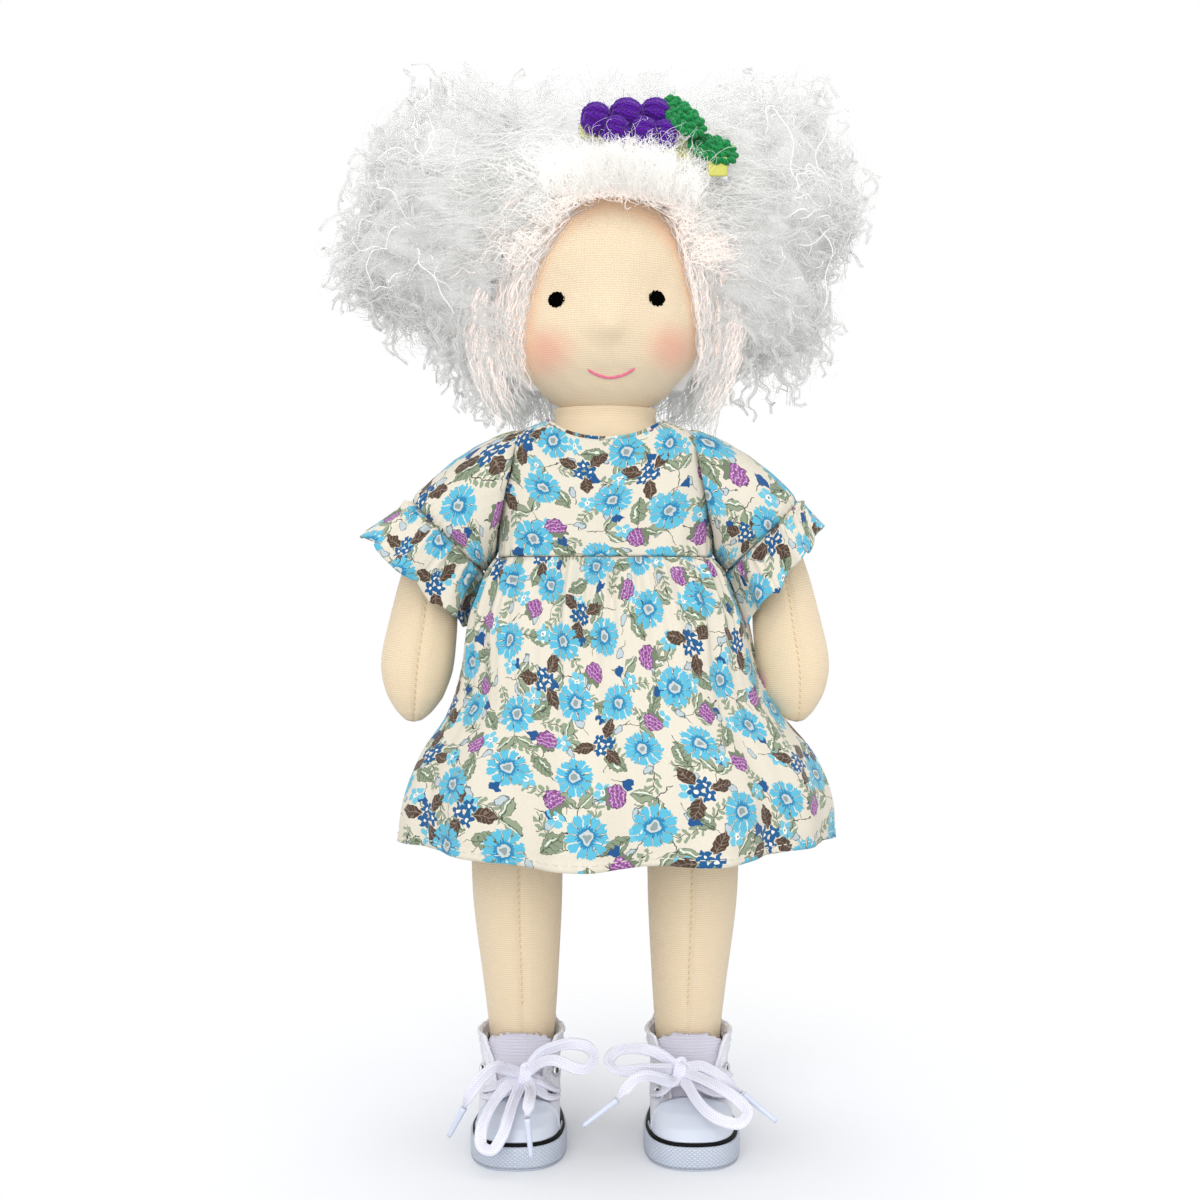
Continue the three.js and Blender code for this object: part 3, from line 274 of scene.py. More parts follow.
def tubes(name, paths, radii, sides, material, facing=(0.31, 0.93, 0.2), flat=1.0, alongUv=False):
    # Closed tubes along many paths at once: each ring is square to its path's direction, "flat"
    # thins it towards the facing direction, and a fan closes both ends
    paths = np.asarray(paths, float)
    n, k = paths.shape[:2]
    radii = np.broadcast_to(np.asarray(radii, float), (n, k))
    way = unit(np.gradient(paths, axis=1))
    side = unit(np.cross(way, np.broadcast_to(facing, way.shape)))
    out = np.cross(side, way)
    a = fullTurn(sides)
    ring = (side[:, :, None] * np.cos(a)[:, None] + flat * out[:, :, None] * np.sin(a)[:, None])
    points = paths[:, :, None] + ring * radii[:, :, None, None]
    quads = gridQuads(k, sides, True)[None] + (np.arange(n) * k * sides)[:, None, None]
    if sides == 3:
        ends = np.array([[2, 1, 0], [k * 3 - 3, k * 3 - 2, k * 3 - 1]])
        triangles = ends[None] + (np.arange(n) * k * 3)[:, None, None]
    else:
        middle = n * k * sides + np.arange(n) * 2
        c = np.arange(sides)
        first = (np.arange(n) * k * sides)[:, None]
        last = first + (k - 1) * sides
        hub = np.broadcast_to(middle[:, None], (n, sides))
        low = np.stack([first + (c + 1) % sides, first + c, hub], -1)
        high = np.stack([last + c, last + (c + 1) % sides, hub + 1], -1)
        triangles = np.concatenate([low, high], 1)
        points = np.concatenate([points.reshape(-1, 3), paths[:, [0, -1]].reshape(-1, 3)])
    uv = None
    if alongUv:
        steps = np.linalg.norm(np.diff(paths, axis=1), axis=2)
        length = np.concatenate([np.zeros((n, 1)), np.cumsum(steps, 1)], 1)
        table = np.stack(np.broadcast_arrays(length[:, :, None], np.arange(sides + 1) / sides), -1)
        corner = np.stack([table[:, :-1, :-1], table[:, :-1, 1:], table[:, 1:, 1:], table[:, 1:, :-1]], 3)
        uv = np.concatenate([corner.reshape(-1, 2), np.zeros((triangles.size, 2))])
    return putMesh(name, points, quads.reshape(-1, 4), triangles.reshape(-1, 3), material, uv)


# Camera, light and floor

view = {"lens": 45, "sensor": 36, "distance": 450, "height": 159, "side": -1.5}


def makeCamera():
    data = bpy.data.cameras.new("camera")
    data.lens = view["lens"]
    data.sensor_width = view["sensor"]
    camera = bpy.data.objects.new("camera", data)
    camera.location = (view["side"] * mm, -view["distance"] * mm, view["height"] * mm)
    camera.rotation_euler = (math.pi / 2, 0, 0)
    bpy.context.scene.collection.objects.link(camera)
    bpy.context.scene.camera = camera
    bpy.context.scene.view_settings.view_transform = "Standard"


# The white room lights the doll with less than the camera sees of it
studio = {"bounce": 0.72, "paperGlow": 0.13, "paperFadesFrom": 0.06, "paperGoneAt": 0.2}
lamps = {
    "key": {"at": (-0.32, -1.08, 0.6), "size": 1.0, "watts": 8.9},
    "fill": {"at": (0.75, -0.9, 0.18), "size": 1.0, "watts": 6.8},
    "top": {"at": (0.0, 0.1, 1.15), "size": 0.9, "watts": 5.6},
}


def makeLight():
    for name, lamp in lamps.items():
        data = bpy.data.lights.new(name, "AREA")
        data.size = lamp["size"]
        data.energy = lamp["watts"]
        light = bpy.data.objects.new(name, data)
        light.location = lamp["at"]
        aim = np.array([0, 0, 0.16]) - np.array(lamp["at"])
        tip = math.acos(-aim[2] / np.linalg.norm(aim))
        light.rotation_euler = (tip, 0, math.pi - math.atan2(aim[0], -aim[1]))
        bpy.context.scene.collection.objects.link(light)
    world = bpy.data.worlds.new("studio")
    bpy.context.scene.world = world
    world.use_nodes = True
    tree = world.node_tree
    sky = tree.nodes["Background"]
    sky.inputs["Color"].default_value = linear("#ffffff")
    rays = add(tree, "LightPath")
    known = {"camera": rays.outputs["Is Camera Ray"], "mirror": rays.outputs["Is Glossy Ray"],
             "glass": rays.outputs["Is Transmission Ray"]}
    seen = formula(tree, known, """
        either MAXIMUM camera mirror
        seen MAXIMUM either glass
    """)["seen"]
    strength = add(tree, "MapRange", {"Value": seen, "To Min": studio["bounce"], "To Max": 1.0})
    tree.links.new(strength.outputs[0], sky.inputs["Strength"])


def makeFloor():
    # Matt white paper: its own camera glow lifts it to white, and the doll's shadow stays on it
    paper, tree, shader = newMaterial("whitePaperFloor", 0.9, "#dcdee2", Specular_IOR_Level=0.1)
    rays = add(tree, "LightPath")
    glow = add(tree, "Math", (rays.outputs["Is Camera Ray"], studio["paperGlow"]), operation="MULTIPLY")
    shader.inputs["Emission Color"].default_value = linear("#ffffff")
    tree.links.new(glow.outputs[0], shader.inputs["Emission Strength"])
    # Away from the doll the paper fades into the white behind it
    place = objectPlace(tree)
    far = add(tree, "VectorMath", (place,), operation="LENGTH").outputs["Value"]
    fade = add(tree, "MapRange", {"Value": far, "From Min": studio["paperFadesFrom"],
                                  "From Max": studio["paperGoneAt"]}, interpolation_type="SMOOTHSTEP")
    clear = add(tree, "BsdfTransparent")
    both = add(tree, "MixShader", {0: fade, 1: shader, 2: clear})
    tree.links.new(both.outputs[0], tree.nodes["Material Output"].inputs["Surface"])
    s = np.linspace(-1, 1, 2)
    x, y = np.meshgrid(s * 3000, s * 3000)
    grid = np.stack([x, y, np.zeros_like(x) - 0.01], -1)
    floor = putMesh("floor", grid, gridQuads(2, 2, False), [], paper)


makeCamera()
makeLight()
makeFloor()
print("camera, light and floor made")


# Laces: every free end is one cord, from its bow loop through the knot to its tail

laceSize = {"width": 3.4, "thick": 1.05, "ribs": 5, "rib": 0.18, "around": 44, "along": 120,
            "pip": 0.75, "pipsRound": 10}


def laceMaterial():
    # Flat woven cotton lace: matt, with the tiny slanted pips of its braid between lengthwise ribs
    made, tree, shader = newMaterial("wovenCottonLace", 0.85, "#efeff8", Sheen_Weight=0.25,
                                     Sheen_Roughness=0.6)
    known = clothPlace(tree) | {"pip": 2 * math.pi / laceSize["pip"],
                                "turn": 2 * math.pi * laceSize["pipsRound"]}
    pips = formula(tree, known, """
        along MULTIPLY u pip
        across MULTIPLY v turn
        slant ADD along across
        other SUBTRACT along across
        one SINE slant
        two SINE other
        pips MAXIMUM one two
    """)["pips"]
    # Painted light and shade: the pips are lighter and the hollows between them darker
    tone = mixColors(tree, pips, linear("#dddded"), linear("#f0f0fa"))
    tree.links.new(tone, shader.inputs["Base Color"])
    bumpInto(tree, shader, pips, 0.00004)
    return made


laceCloth = laceMaterial()


def flatCord(name, path, facing=(0, -1, 0.35), width=None, twist=0.0, taper=False):
    # A flat tube: across it a rounded box whose broad sides carry lengthwise ribs; it twists gently
    # to and fro, and a tapered end is gathered into its aglet
    s = laceSize
    width = np.full(len(path), width or s["width"])
    part = np.linspace(0, 1, len(path))
    if taper:
        width *= 1 - 0.62 * step(part, 0.94, 1.0)
    way = unit(np.gradient(path, axis=0))
    side = unit(np.cross(way, np.broadcast_to(np.asarray(facing, float), way.shape)))
    for _ in range(6):
        side = unit(np.vstack([side[:1], (side[:-2] + 2 * side[1:-1] + side[2:]) / 4, side[-1:]]))
    side = unit(side - way * (side * way).sum(1, keepdims=True))
    out = np.cross(side, way)
    angle = (twist * np.sin(2 * np.pi * (2.6 * part + 0.1)))[:, None]
    side, out = side * np.cos(angle) + out * np.sin(angle), out * np.cos(angle) - side * np.sin(angle)
    a = fullTurn(s["around"])
    x = np.sign(np.cos(a)) * np.abs(np.cos(a)) ** 0.8 / 2
    ribs = s["rib"] * np.cos(2 * np.pi * s["ribs"] * x) * np.abs(np.sin(a)) ** 0.5
    y = s["thick"] / 2 * np.sign(np.sin(a)) * np.abs(np.sin(a)) ** 0.55 + np.sign(np.sin(a)) * ribs
    grid = path[:, None] + side[:, None] * (width[:, None] * x)[..., None] + out[:, None] * y[:, None]
    length = distances(path)
    uv = np.stack(np.broadcast_arrays(length[:, None], np.arange(s["around"] + 1) / s["around"]), -1)
    return skinOf(name, grid, laceCloth, caps=(True, True), uv=uv)


# Route points in millimetres, the same as the solids follow
routes = {
    "right": {
        "knot": (-23.2, -18.2, 21.9),
        "innerLoop": [(-22, -18.8, 23.6), (-17.9, -22.4, 27.3), (-14.1, -24.6, 28.4), (-9.2, -25.6, 26.8),
                      (-5.8, -25.6, 26.4), (-3.4, -23.6, 29), (-5, -21.6, 31.2), (-9.6, -20.4, 32),
                      (-14.2, -19.8, 31), (-18.4, -19, 28.8), (-21.8, -18.4, 24.4)],
        "frontLoop": [(-24, -19.4, 20.4), (-25.9, -26.6, 17.6), (-27.1, -32, 14.6), (-28.5, -36, 11.1),
                      (-31.2, -37.8, 7.8), (-33.9, -38.2, 9), (-34.3, -36.8, 12.5), (-33.2, -32.8, 15.4),
                      (-30.9, -27.8, 18.4), (-28, -24, 21), (-24.6, -19.6, 21.6)],
        "outerTail": [(-24, -19, 22.8), (-28.2, -24.6, 26), (-31, -29.2, 28), (-34, -31.8, 26.4),
                      (-36.4, -32.8, 23.6), (-38.2, -32.4, 20.6), (-39.4, -31, 17.6)],
        "frontTail": [(-22.6, -19, 21.4), (-21.2, -25, 20.8), (-20.9, -30, 20.9), (-21, -34.4, 20.6),
                      (-21.2, -37.6, 19.6), (-21.4, -39, 17.6)],
    },
    "left": {
        "knot": (21.2, -18.2, 23.4),
        "innerLoop": [(20, -18.8, 24.2), (15.6, -22.6, 25.4), (11.2, -24.8, 26), (5.8, -25.8, 25.8),
                      (2.4, -25.4, 26.4), (1.1, -23.4, 28), (2.6, -21.4, 29.6), (5.6, -20.4, 30.4),
                      (10.2, -19.6, 30.2), (15.2, -19.2, 28.8), (20, -18.6, 25.2)],
        "frontLoop": [(22.2, -19, 23.6), (27.5, -24.6, 23.2), (32.5, -29.4, 22), (37, -32.8, 19.8),
                      (39.4, -34.4, 17), (37.4, -35.4, 14.4), (32.8, -35, 14.8), (28.5, -32.4, 16.4),
                      (25.4, -28, 18.8), (23.6, -23.4, 20.8), (21.8, -19, 22)],
        "outerTail": [(22.6, -18.4, 24), (27, -20.4, 25.6), (31, -22.4, 24.4), (35, -25, 22),
                      (38.3, -28, 20.5)],
        "innerTail": [(20.6, -19.6, 22.2), (18.6, -24, 22.2), (15.2, -27.8, 24.4), (11.6, -30.4, 26),
                      (8.2, -32, 25.4), (5.6, -33, 23), (3.8, -33.2, 20.6)],
    },
}
# Which loop runs on into which tail, and the aglet at its end
laceEnds = {
    "right": [("innerLoop", "outerTail", ((-39.6, -30.8, 17), (-43.9, -28.6, 8.4)), "outer"),
              ("frontLoop", "frontTail", ((-21.4, -39.3, 17), (-20.3, -40, 6.6)), "front")],
    "left": [("innerLoop", "outerTail", ((38.7, -28.4, 20.2), (47.8, -31.2, 13.4)), "outer"),
             ("frontLoop", "innerTail", ((3.3, -33.2, 20.1), (-6.2, -33.6, 13)), "inner")],
}
nodeNames = {"innerLoop": "inner_loop", "frontLoop": "front_loop", "outerTail": "outer_tail",
             "frontTail": "front_tail", "innerTail": "inner_tail"}


def makeLaces():
    # Bluish film wound tight over the lace's end: glossy
    film = plainMaterial("acetateFilmAglet", 0.18, "#d0d7ea", Coat_Weight=0.4)
    for side, ends in laceEnds.items():
        r = routes[side]
        knot = np.array(r["knot"])
        for loop, tail, (start, end), word in ends:
            # The loop leaves the knot's face, comes back to its middle, and the tail goes on from there
            middle = knot + np.array([0, 0.3, 0])
            points = np.vstack([r[loop], middle, r[tail]])
            path = smooth(points, laceSize["along"])
            cord = flatCord(f"{side}_{loop}_and_tail", path, twist=0.55, taper=True)
            place(cord, f"{side}_leg", "lace", f"{side}_{nodeNames[loop]}", f"{side}_{nodeNames[tail]}")
            a, b = np.array(start), np.array(end)
            t = np.linspace(0, 1, 14)[:, None]
            waist = 0.95 - 0.3 * t[:, 0] + 0.05 * (t[:, 0] < 0.1)
            aglet = tubes(f"{side}_{word}_aglet_film", (a + (b - a) * t)[None], waist[None], 16, film)
            place(aglet, f"{side}_leg", "aglet", f"{side}_{word}_aglet")


makeLaces()
print("laces tied")


# Body: stuffed cotton jersey, its fine knit drawn in millimetres of cloth

jerseySize = {"wale": 0.6, "course": 0.66}


def jerseyMaterial(name, color, blush=False):
    # Cotton stockinette: soft and matt; rows of small V stitches, each 0.66 mm high and 0.6 mm wide
    made, tree, shader = newMaterial(name, 0.75, color, Sheen_Weight=0.35, Sheen_Roughness=0.5,
                                     Specular_IOR_Level=0.25)
    known = formula(tree, clothPlace(tree) | jerseySize, """
        across DIVIDE u wale
        part FRACT across
        middle SUBTRACT part 0.5
        leg ABSOLUTE middle
        slope MULTIPLY leg 1.1
        rows DIVIDE v course
        height SUBTRACT rows slope
        turn MULTIPLY height 6.2832
        wave COSINE turn
        gap MULTIPLY leg 6.2832
        groove COSINE gap
        deep MULTIPLY groove 0.16
        knit ADD wave deep
        lit MULTIPLY_ADD knit 0.11 0.93
    """)
    grain = add(tree, "TexNoise", {"Vector": objectPlace(tree), "Scale": 900.0, "Detail": 2.0})
    tone = mixColors(tree, 0.06, linear(color), grain.outputs["Color"])
    if blush:
        place = objectPlace(tree)
        for x, z, wide, strength in blushes:
            apart = add(tree, "VectorMath", (place, (x * mm, -0.022, z * mm)), operation="SUBTRACT")
            wider = add(tree, "VectorMath", (apart, (1.0, 0.55, 1.25)), operation="MULTIPLY")
            far = add(tree, "VectorMath", (wider,), operation="LENGTH").outputs["Value"]
            near = add(tree, "MapRange", {
                "Value": far, "From Min": 0.0, "From Max": wide * mm, "To Min": strength, "To Max": 0.0,
            }, interpolation_type="SMOOTHERSTEP")
            tone = mixColors(tree, near, tone, linear("#f0907c"))
        parts = add(tree, "SeparateXYZ", (place,))
        # Peach scalp under the first thin hairs, above and beside the face
        apart = add(tree, "VectorMath", (place, (0.0022, 0, 0.237)), operation="SUBTRACT")
        rim = add(tree, "VectorMath", (apart, (1.12, 0.0, 0.8)), operation="MULTIPLY")
        rimFar = add(tree, "VectorMath", (rim,), operation="LENGTH").outputs["Value"]
        scalp = add(tree, "MapRange", {
            "Value": rimFar, "From Min": 0.0228, "From Max": 0.0275, "To Min": 0.0, "To Max": 0.75,
        }, interpolation_type="SMOOTHSTEP")
        above = add(tree, "MapRange", {"Value": parts.outputs["Z"], "From Min": 0.214, "From Max": 0.238})
        scalp = add(tree, "Math", (scalp, above), operation="MULTIPLY")
        tone = mixColors(tree, scalp, tone, linear("#f7c9a4"))
    # Painted light and shade: the colour is lighter on the stitches and darker in the grooves between them
    paint(tree, shader, tone, known["lit"])
    bumpInto(tree, shader, known["knit"], 0.00005, 0.7)
    return made


# Cheek blush: x, z, reach and strength
blushes = [(-17.5, 230.0, 13.5, 0.5), (20.0, 231.0, 13.5, 0.5), (0.8, 233.0, 9.0, 0.06)]
skin = jerseyMaterial("ivoryCottonJersey", "#f2dcb9")
faceSkin = jerseyMaterial("ivoryJerseyWithCheekBlush", "#f2ddbc", blush=True)

headSize = {"width": 30.3, "depth": 29.5, "height": 70.5, "bottom": 215, "rows": 110, "columns": 140,
            # Share of the width, of the depth and of the height, from the neck up
            "knots": [(.3, .32, 0), (.43, .45, .02), (.66, .68, .09), (.88, .88, .2), (1, 1, .37),
                      (1, 1, .53), (.95, .97, .69), (.77, .8, .85), (.47, .49, .95), (.14, .14, 1)]}
eyes = {"z": 244.4, "radius": 2.4}
eyePlaces = [(-13.9, 244.3), (14.7, 244.7)]


def squareOval(count, power):
    # Unit points round a squared oval: |x|^power + |y|^power = 1
    a = 2 * np.pi * np.arange(count) / count
    c, s = np.cos(a), np.sin(a)
    power = np.asarray(power, float)[..., None]
    size = (np.abs(c) ** power + np.abs(s) ** power) ** (-1 / power)
    return c * size, s * size


def headGrid():
    h = headSize
    k = smooth(np.array(h["knots"]) * (h["width"], h["depth"], h["height"]), h["rows"])
    a = fullTurn(h["columns"])
    x = k[:, :1] * np.cos(a)
    y = k[:, 1:2] * np.sin(a)
    z = np.broadcast_to(k[:, 2:] + h["bottom"], x.shape)
    front = step(-np.sin(a), 0.1, 0.7)[None]
    # The thread tied round the eye line draws the face in; cheeks, nose and forehead stand out of it
    line = -1.1 * bell(z, eyes["z"] + 1.5, 8) * front
    sockets = sum(-1.3 * bell(x, ex, 6.5) * bell(z, ez + 1, 6.5) for ex, ez in eyePlaces) * front
    nose = (2.2 * bell(x, 0.8, 4.6) * bell(z, 236.2, 3.6) * front
            + 0.9 * bell(x, 0.8, 6.5) * bell(z, 239, 6) * front)
    cheeks = (0.9 * bell(x, -17, 10) + 0.9 * bell(x, 19, 10)) * bell(z, 229, 9) * front
    mouth = -0.5 * bell(x, 1.5, 8) * bell(z, 223.6, 2.5) * front
    ripple = 0.12 * np.sin(x * 0.9 + z * 0.4) * np.sin(z * 0.7)
    out = line + sockets + nose + cheeks + mouth + ripple
    way = unit(np.stack([x / h["width"] ** 2, y / h["depth"] ** 2, (z - 247) / 40 ** 2], -1))
    grid = np.stack([x, y, z], -1) + way * out[..., None]
    return grid


headShape = headGrid()


def faceY(x, z):
    # The front of the finished face at each place, by the nearest point of its grid
    half = headShape[:, headShape.shape[1] // 2:]
    flat = half.reshape(-1, 3)
    x, z = np.broadcast_arrays(np.asarray(x, float), np.asarray(z, float))
    gap = (flat[None, :, 0] - x.reshape(-1, 1)) ** 2 + (flat[None, :, 2] - z.reshape(-1, 1)) ** 2
    return flat[gap.argmin(1), 1].reshape(x.shape)


def makeHead():
    head = skinOf("head_jersey", headShape, faceSkin, caps=(True, True))
    place(head, "head", "jersey", "head")

    # Satin-stitched eyes: a low dome of side-by-side threads
    black = plainMaterial("blackEmbroideryThread", 0.9, "#010101", Specular_IOR_Level=0.03)
    r = np.linspace(0, 1, 20)[:, None]
    a = np.linspace(0, 2 * np.pi, 97)[None, :-1]
    for name, (x, z) in zip(("right_eye", "left_eye"), eyePlaces):
        edge = 1 + 0.025 * np.sin(a * 23) + 0.02 * np.sin(a * 9 + x)
        px = x + eyes["radius"] * r * edge * np.cos(a)
        pz = z + eyes["radius"] * r * edge * np.sin(a)
        threads = 0.1 * np.abs(np.sin((px * 0.8 + pz * 0.6) * 6.5)) * (1 - r ** 6)
        rise = 0.62 * np.sqrt(np.clip(1 - r ** 2.4, 0, 1)) + threads
        py = faceY(px, pz) - rise + 0.12
        eye = skinOf(f"{name}_threads", np.stack([px, py, pz], -1)[1:], black, caps=(True, False), flip=True)
        place(eye, "head", "eye_thread", name)

    # The smile: short back stitches, each a little plump
    pink = plainMaterial("pinkStrandedCottonThread", 0.7, "#dc7390", Specular_IOR_Level=0.3)
    s = np.linspace(-1, 1, 150)
    x = 1.7 + 6.8 * s
    z = 224.9 - 2.3 * (1 - np.abs(s) ** 2.0) + 0.2 * s
    y = faceY(x, z)
    y = np.convolve(np.pad(y, 6, mode="edge"), np.ones(13) / 13, "valid") - 0.25
    radius = 0.4 * (0.72 + 0.28 * np.abs(np.sin(np.pi * 3.5 * (s + 1))) ** 0.5) * (1 - np.abs(s) ** 14 * 0.6)
    smile = tubes("mouth_threads", np.stack([x, y, z], -1)[None], radius[None], 14, pink, alongUv=True)
    place(smile, "head", "mouth_thread", "mouth_stitch")


makeHead()


def makeNeckAndTorso():
    # Half width, half depth and height of its outline
    knots = [(32, 2.2, 123.8), (36.5, 7.5, 131), (37, 13.5, 140), (34, 18, 152), (30.3, 18.5, 168),
             (29.6, 17.5, 190), (28.4, 15, 200), (26, 14, 206), (17.6, 13.2, 210.2), (15.8, 12.6, 211.4),
             (15.1, 12.1, 213.2), (15.6, 12.5, 215.8)]
    k = smooth(knots, 90)
    power = 3.4 - 1.4 * step(k[:, 2], 204, 211)
    x, y = squareOval(120, power)
    grid = np.stack([x * k[:, :1], y * k[:, 1:2], np.broadcast_to(k[:, 2:], x.shape)], -1)
    torso = skinOf("torso_jersey", grid, skin, caps=(True, True))
    place(torso, "torso", "jersey", "torso", "neck")


makeNeckAndTorso()


def limbGrid(path, sizes, rows, columns, seamDepth, seamAt):
    # Rings square to a path in the XZ plane; a shallow valley runs down the front where the seam is
    p = smooth(path, rows)
    s = smooth([(a, b, i * 8.0) for i, (a, b) in enumerate(sizes)], rows)
    way = unit(np.gradient(p, axis=0))
    side = unit(np.cross((0.0, 1.0, 0.0), way))
    a = fullTurn(columns)
    seam = seamDepth * bell(np.cos(a) - seamAt, 0, 0.09) * (np.sin(a) < 0)
    grow = 1 - seam[None] / np.maximum(s[:, 1:2], 3)
    return (p[:, None] + side[:, None] * (s[:, :1] * np.cos(a) * grow)[..., None]
            + np.array([0, 1.0, 0]) * (s[:, 1:2] * np.sin(a) * grow)[..., None])


def seamStitches(name, line, body, thread):
    # Small slanted hand stitches along a seam: short plump threads that dip in at both ends
    long = distances(line)
    starts = np.arange(1.2, long[-1] - 1.5, 1.9)
    t = np.linspace(0, 1, 7)
    at = starts[:, None] + 1.25 * t
    path = pointsAt(line, long, at)
    path[..., 0] += 0.45 * (t - 0.5)
    path[..., 1] -= 0.32 * np.sin(np.pi * t) - 0.1
    stitches = tubes(name, path, 0.16, 6, thread)
    place(stitches, body, "jersey")


# The left arm's middle line (x, z) and its half width and half depth; the legs' knots are half width,
# half depth and height
armPath = [(30.2, 190.5), (35.1, 190), (46.85, 178.45), (52.4, 165), (54.6, 151), (56.4, 139), (57, 130.5),
           (57.3, 125.4), (57.4, 123), (57.4, 122.5)]
armSizes = [(8, 8.6), (8.6, 8.6), (8.6, 8.6), (8.7, 8.4), (10.3, 8.6), (10.8, 8.4), (8.5, 6.7), (5.1, 4.2),
            (2.3, 2.0), (0.3, 0.3)]
limb = {"armRows": 110, "armColumns": 72, "armSeam": 0.7, "seamAt": -0.12,
        "legRows": 100, "legColumns": 80, "legSeam": 0.6}
legKnots = [(8, 8.2, 9), (8.9, 8.8, 16), (9.6, 9.4, 27), (11.3, 11.3, 46), (13.3, 13.3, 70), (13.7, 13.1, 92),
            (13.5, 11, 105), (12.9, 6.4, 111.9), (12.5, 2.2, 116.5), (12.1, 1.54, 118.04), (11.7, .4, 118.7)]


def makeLimbs():
    thread = plainMaterial("ivorySewingThread", 0.6, "#d8bf94")
    for side, sign in bothSides:
        path = [(x * sign, 0, z) for x, z in armPath]
        grid = limbGrid(path, armSizes, limb["armRows"], limb["armColumns"], limb["armSeam"], limb["seamAt"])
        arm = skinOf(f"{side}_arm_jersey", grid, skin, caps=(True, True))
        place(arm, f"{side}_arm", "jersey", f"{side}_arm")
        a = fullTurn(limb["armColumns"])
        column = int(np.argmin(np.abs(np.cos(a) - limb["seamAt"]) + (np.arange(len(a)) < len(a) / 2)))
        seamStitches(f"{side}_arm_stitches", grid[34:98, column], f"{side}_arm", thread)

        k = smooth(legKnots, limb["legRows"])
        high = step(k[:, 2], 27, 80)
        x0 = (25 + 1.3 * high) * sign
        y0 = 3 * (1 - high)
        a = fullTurn(limb["legColumns"])
        seam = limb["legSeam"] * bell(np.cos(a) + 0.1 * sign, 0, 0.08) * (np.sin(a) < 0)
        seam = seam * step(k[:, 2], 12, 30)[:, None]
        grow = 1 - seam / 9
        x = x0[:, None] + k[:, :1] * np.cos(a) * grow
        y = y0[:, None] + k[:, 1:2] * np.sin(a) * grow
        grid = np.stack([x, y, np.broadcast_to(k[:, 2:], grow.shape)], -1)
        leg = skinOf(f"{side}_leg_jersey", grid, skin, caps=(True, True))
        place(leg, f"{side}_leg", "jersey", f"{side}_leg")
        column = int(np.argmin(np.abs(np.cos(a) + 0.1 * sign) + (np.arange(len(a)) < len(a) / 2)))
        seamStitches(f"{side}_leg_stitches", grid[26:84, column], f"{side}_leg", thread)


makeLimbs()
print("body made")


# Hair: brushed mohair. A felted core stands for the dense inside of the hair, and each fibre over it
# is a thin closed tube that stands for a few real ones

hair = {"thick": 0.23, "center": (44, 2, 268), "depth": 27, "core": 0.82, "crimp": 9.0, "most": 190000,
        "top": 313, "glow": 0.08}
# Outline of each side bunch as seen from the front: angle from its middle, and reach
reach = {
    "left": [(-110, 40), (-95, 44), (-63, 44), (-51, 40), (-45, 31), (-37, 27), (-24, 25), (-8, 29), (4, 33),
             (13, 35), (22, 37), (34, 36), (43, 38), (58, 44), (67, 48), (73, 49), (100, 49), (120, 48)],
    "right": [(-110, 41), (-91, 40), (-78, 35), (-62, 33), (-41, 34), (-19, 42), (-14, 41), (-6, 38), (4, 33),
              (15, 32), (24, 34), (34, 36), (44, 37), (54, 40), (67, 42), (75, 46), (100, 49), (120, 48)],
}
crownSize = {"width": 41.5, "depth": 37.5, "bottom": 217, "height": 88.5, "shift": 2.5,
             "knots": [(.74, .77, 0), (.87, .9, .1), (.97, 1, .28), (1, 1, .46), (.99, .99, .64),
                       (.9, .92, .8), (.7, .74, .92), (.42, .44, .98), (.14, .15, 1)]}
# Each coat of hair: number of locks, fibres in a lock, points on a fibre, then in millimetres how far
# the fibres of a lock lie apart, a fibre's curl, the lock's sway and its coil; how far the lock closes
# up towards its tip, and the pitch of its coil
coatKeys = ("locks", "count", "points", "spread", "curl", "wander", "coil", "clump", "pitch")
coats = {name: dict(zip(coatKeys, row)) for name, row in {
    "bunch": (190, 6, 14, 1.9, 0.6, 4.0, 1.0, 0.65, 14),
    "bunchCoat": (560, 2, 11, 1.0, 0.7, 2.8, 0.9, 0.6, 10),
    "tufts": (115, 9, 16, 1.3, 0.35, 3.0, 1.35, 0.86, 8),
    "bright": (26, 1, 34, 0.3, 0.7, 2.5, 0.7, 0.6, 8),
    "flyaways": (200, 1, 15, 0.6, 1.2, 2.2, 0, 0.6, 8),
    "bridge": (95, 5, 14, 2.4, 0.7, 4.5, 1.0, 0.6, 13),
    "falls": (62, 7, 18, 1.3, 0.4, 2.0, 1.25, 0.82, 7),
    "nape": (34, 8, 10, 1.8, 0.8, 2.0, 0.8, 0.6, 8),
    "crown": (430, 4, 10, 1.6, 0.7, 3.2, 0.9, 0.6, 11),
    "top": (260, 5, 10, 2.4, 0.9, 2.4, 1.3, 0.6, 7),
    "fringe": (2500, 1, 8, 0.5, 1.3, 1.5, 0, 0.6, 8),
    "roll": (620, 1, 9, 0.6, 1.3, 1.5, 0, 0.6, 8),
    "overClip": (70, 1, 14, 0.4, 1.0, 1.5, 0, 0.6, 8),
}.items()}
rng = np.random.default_rng(7)


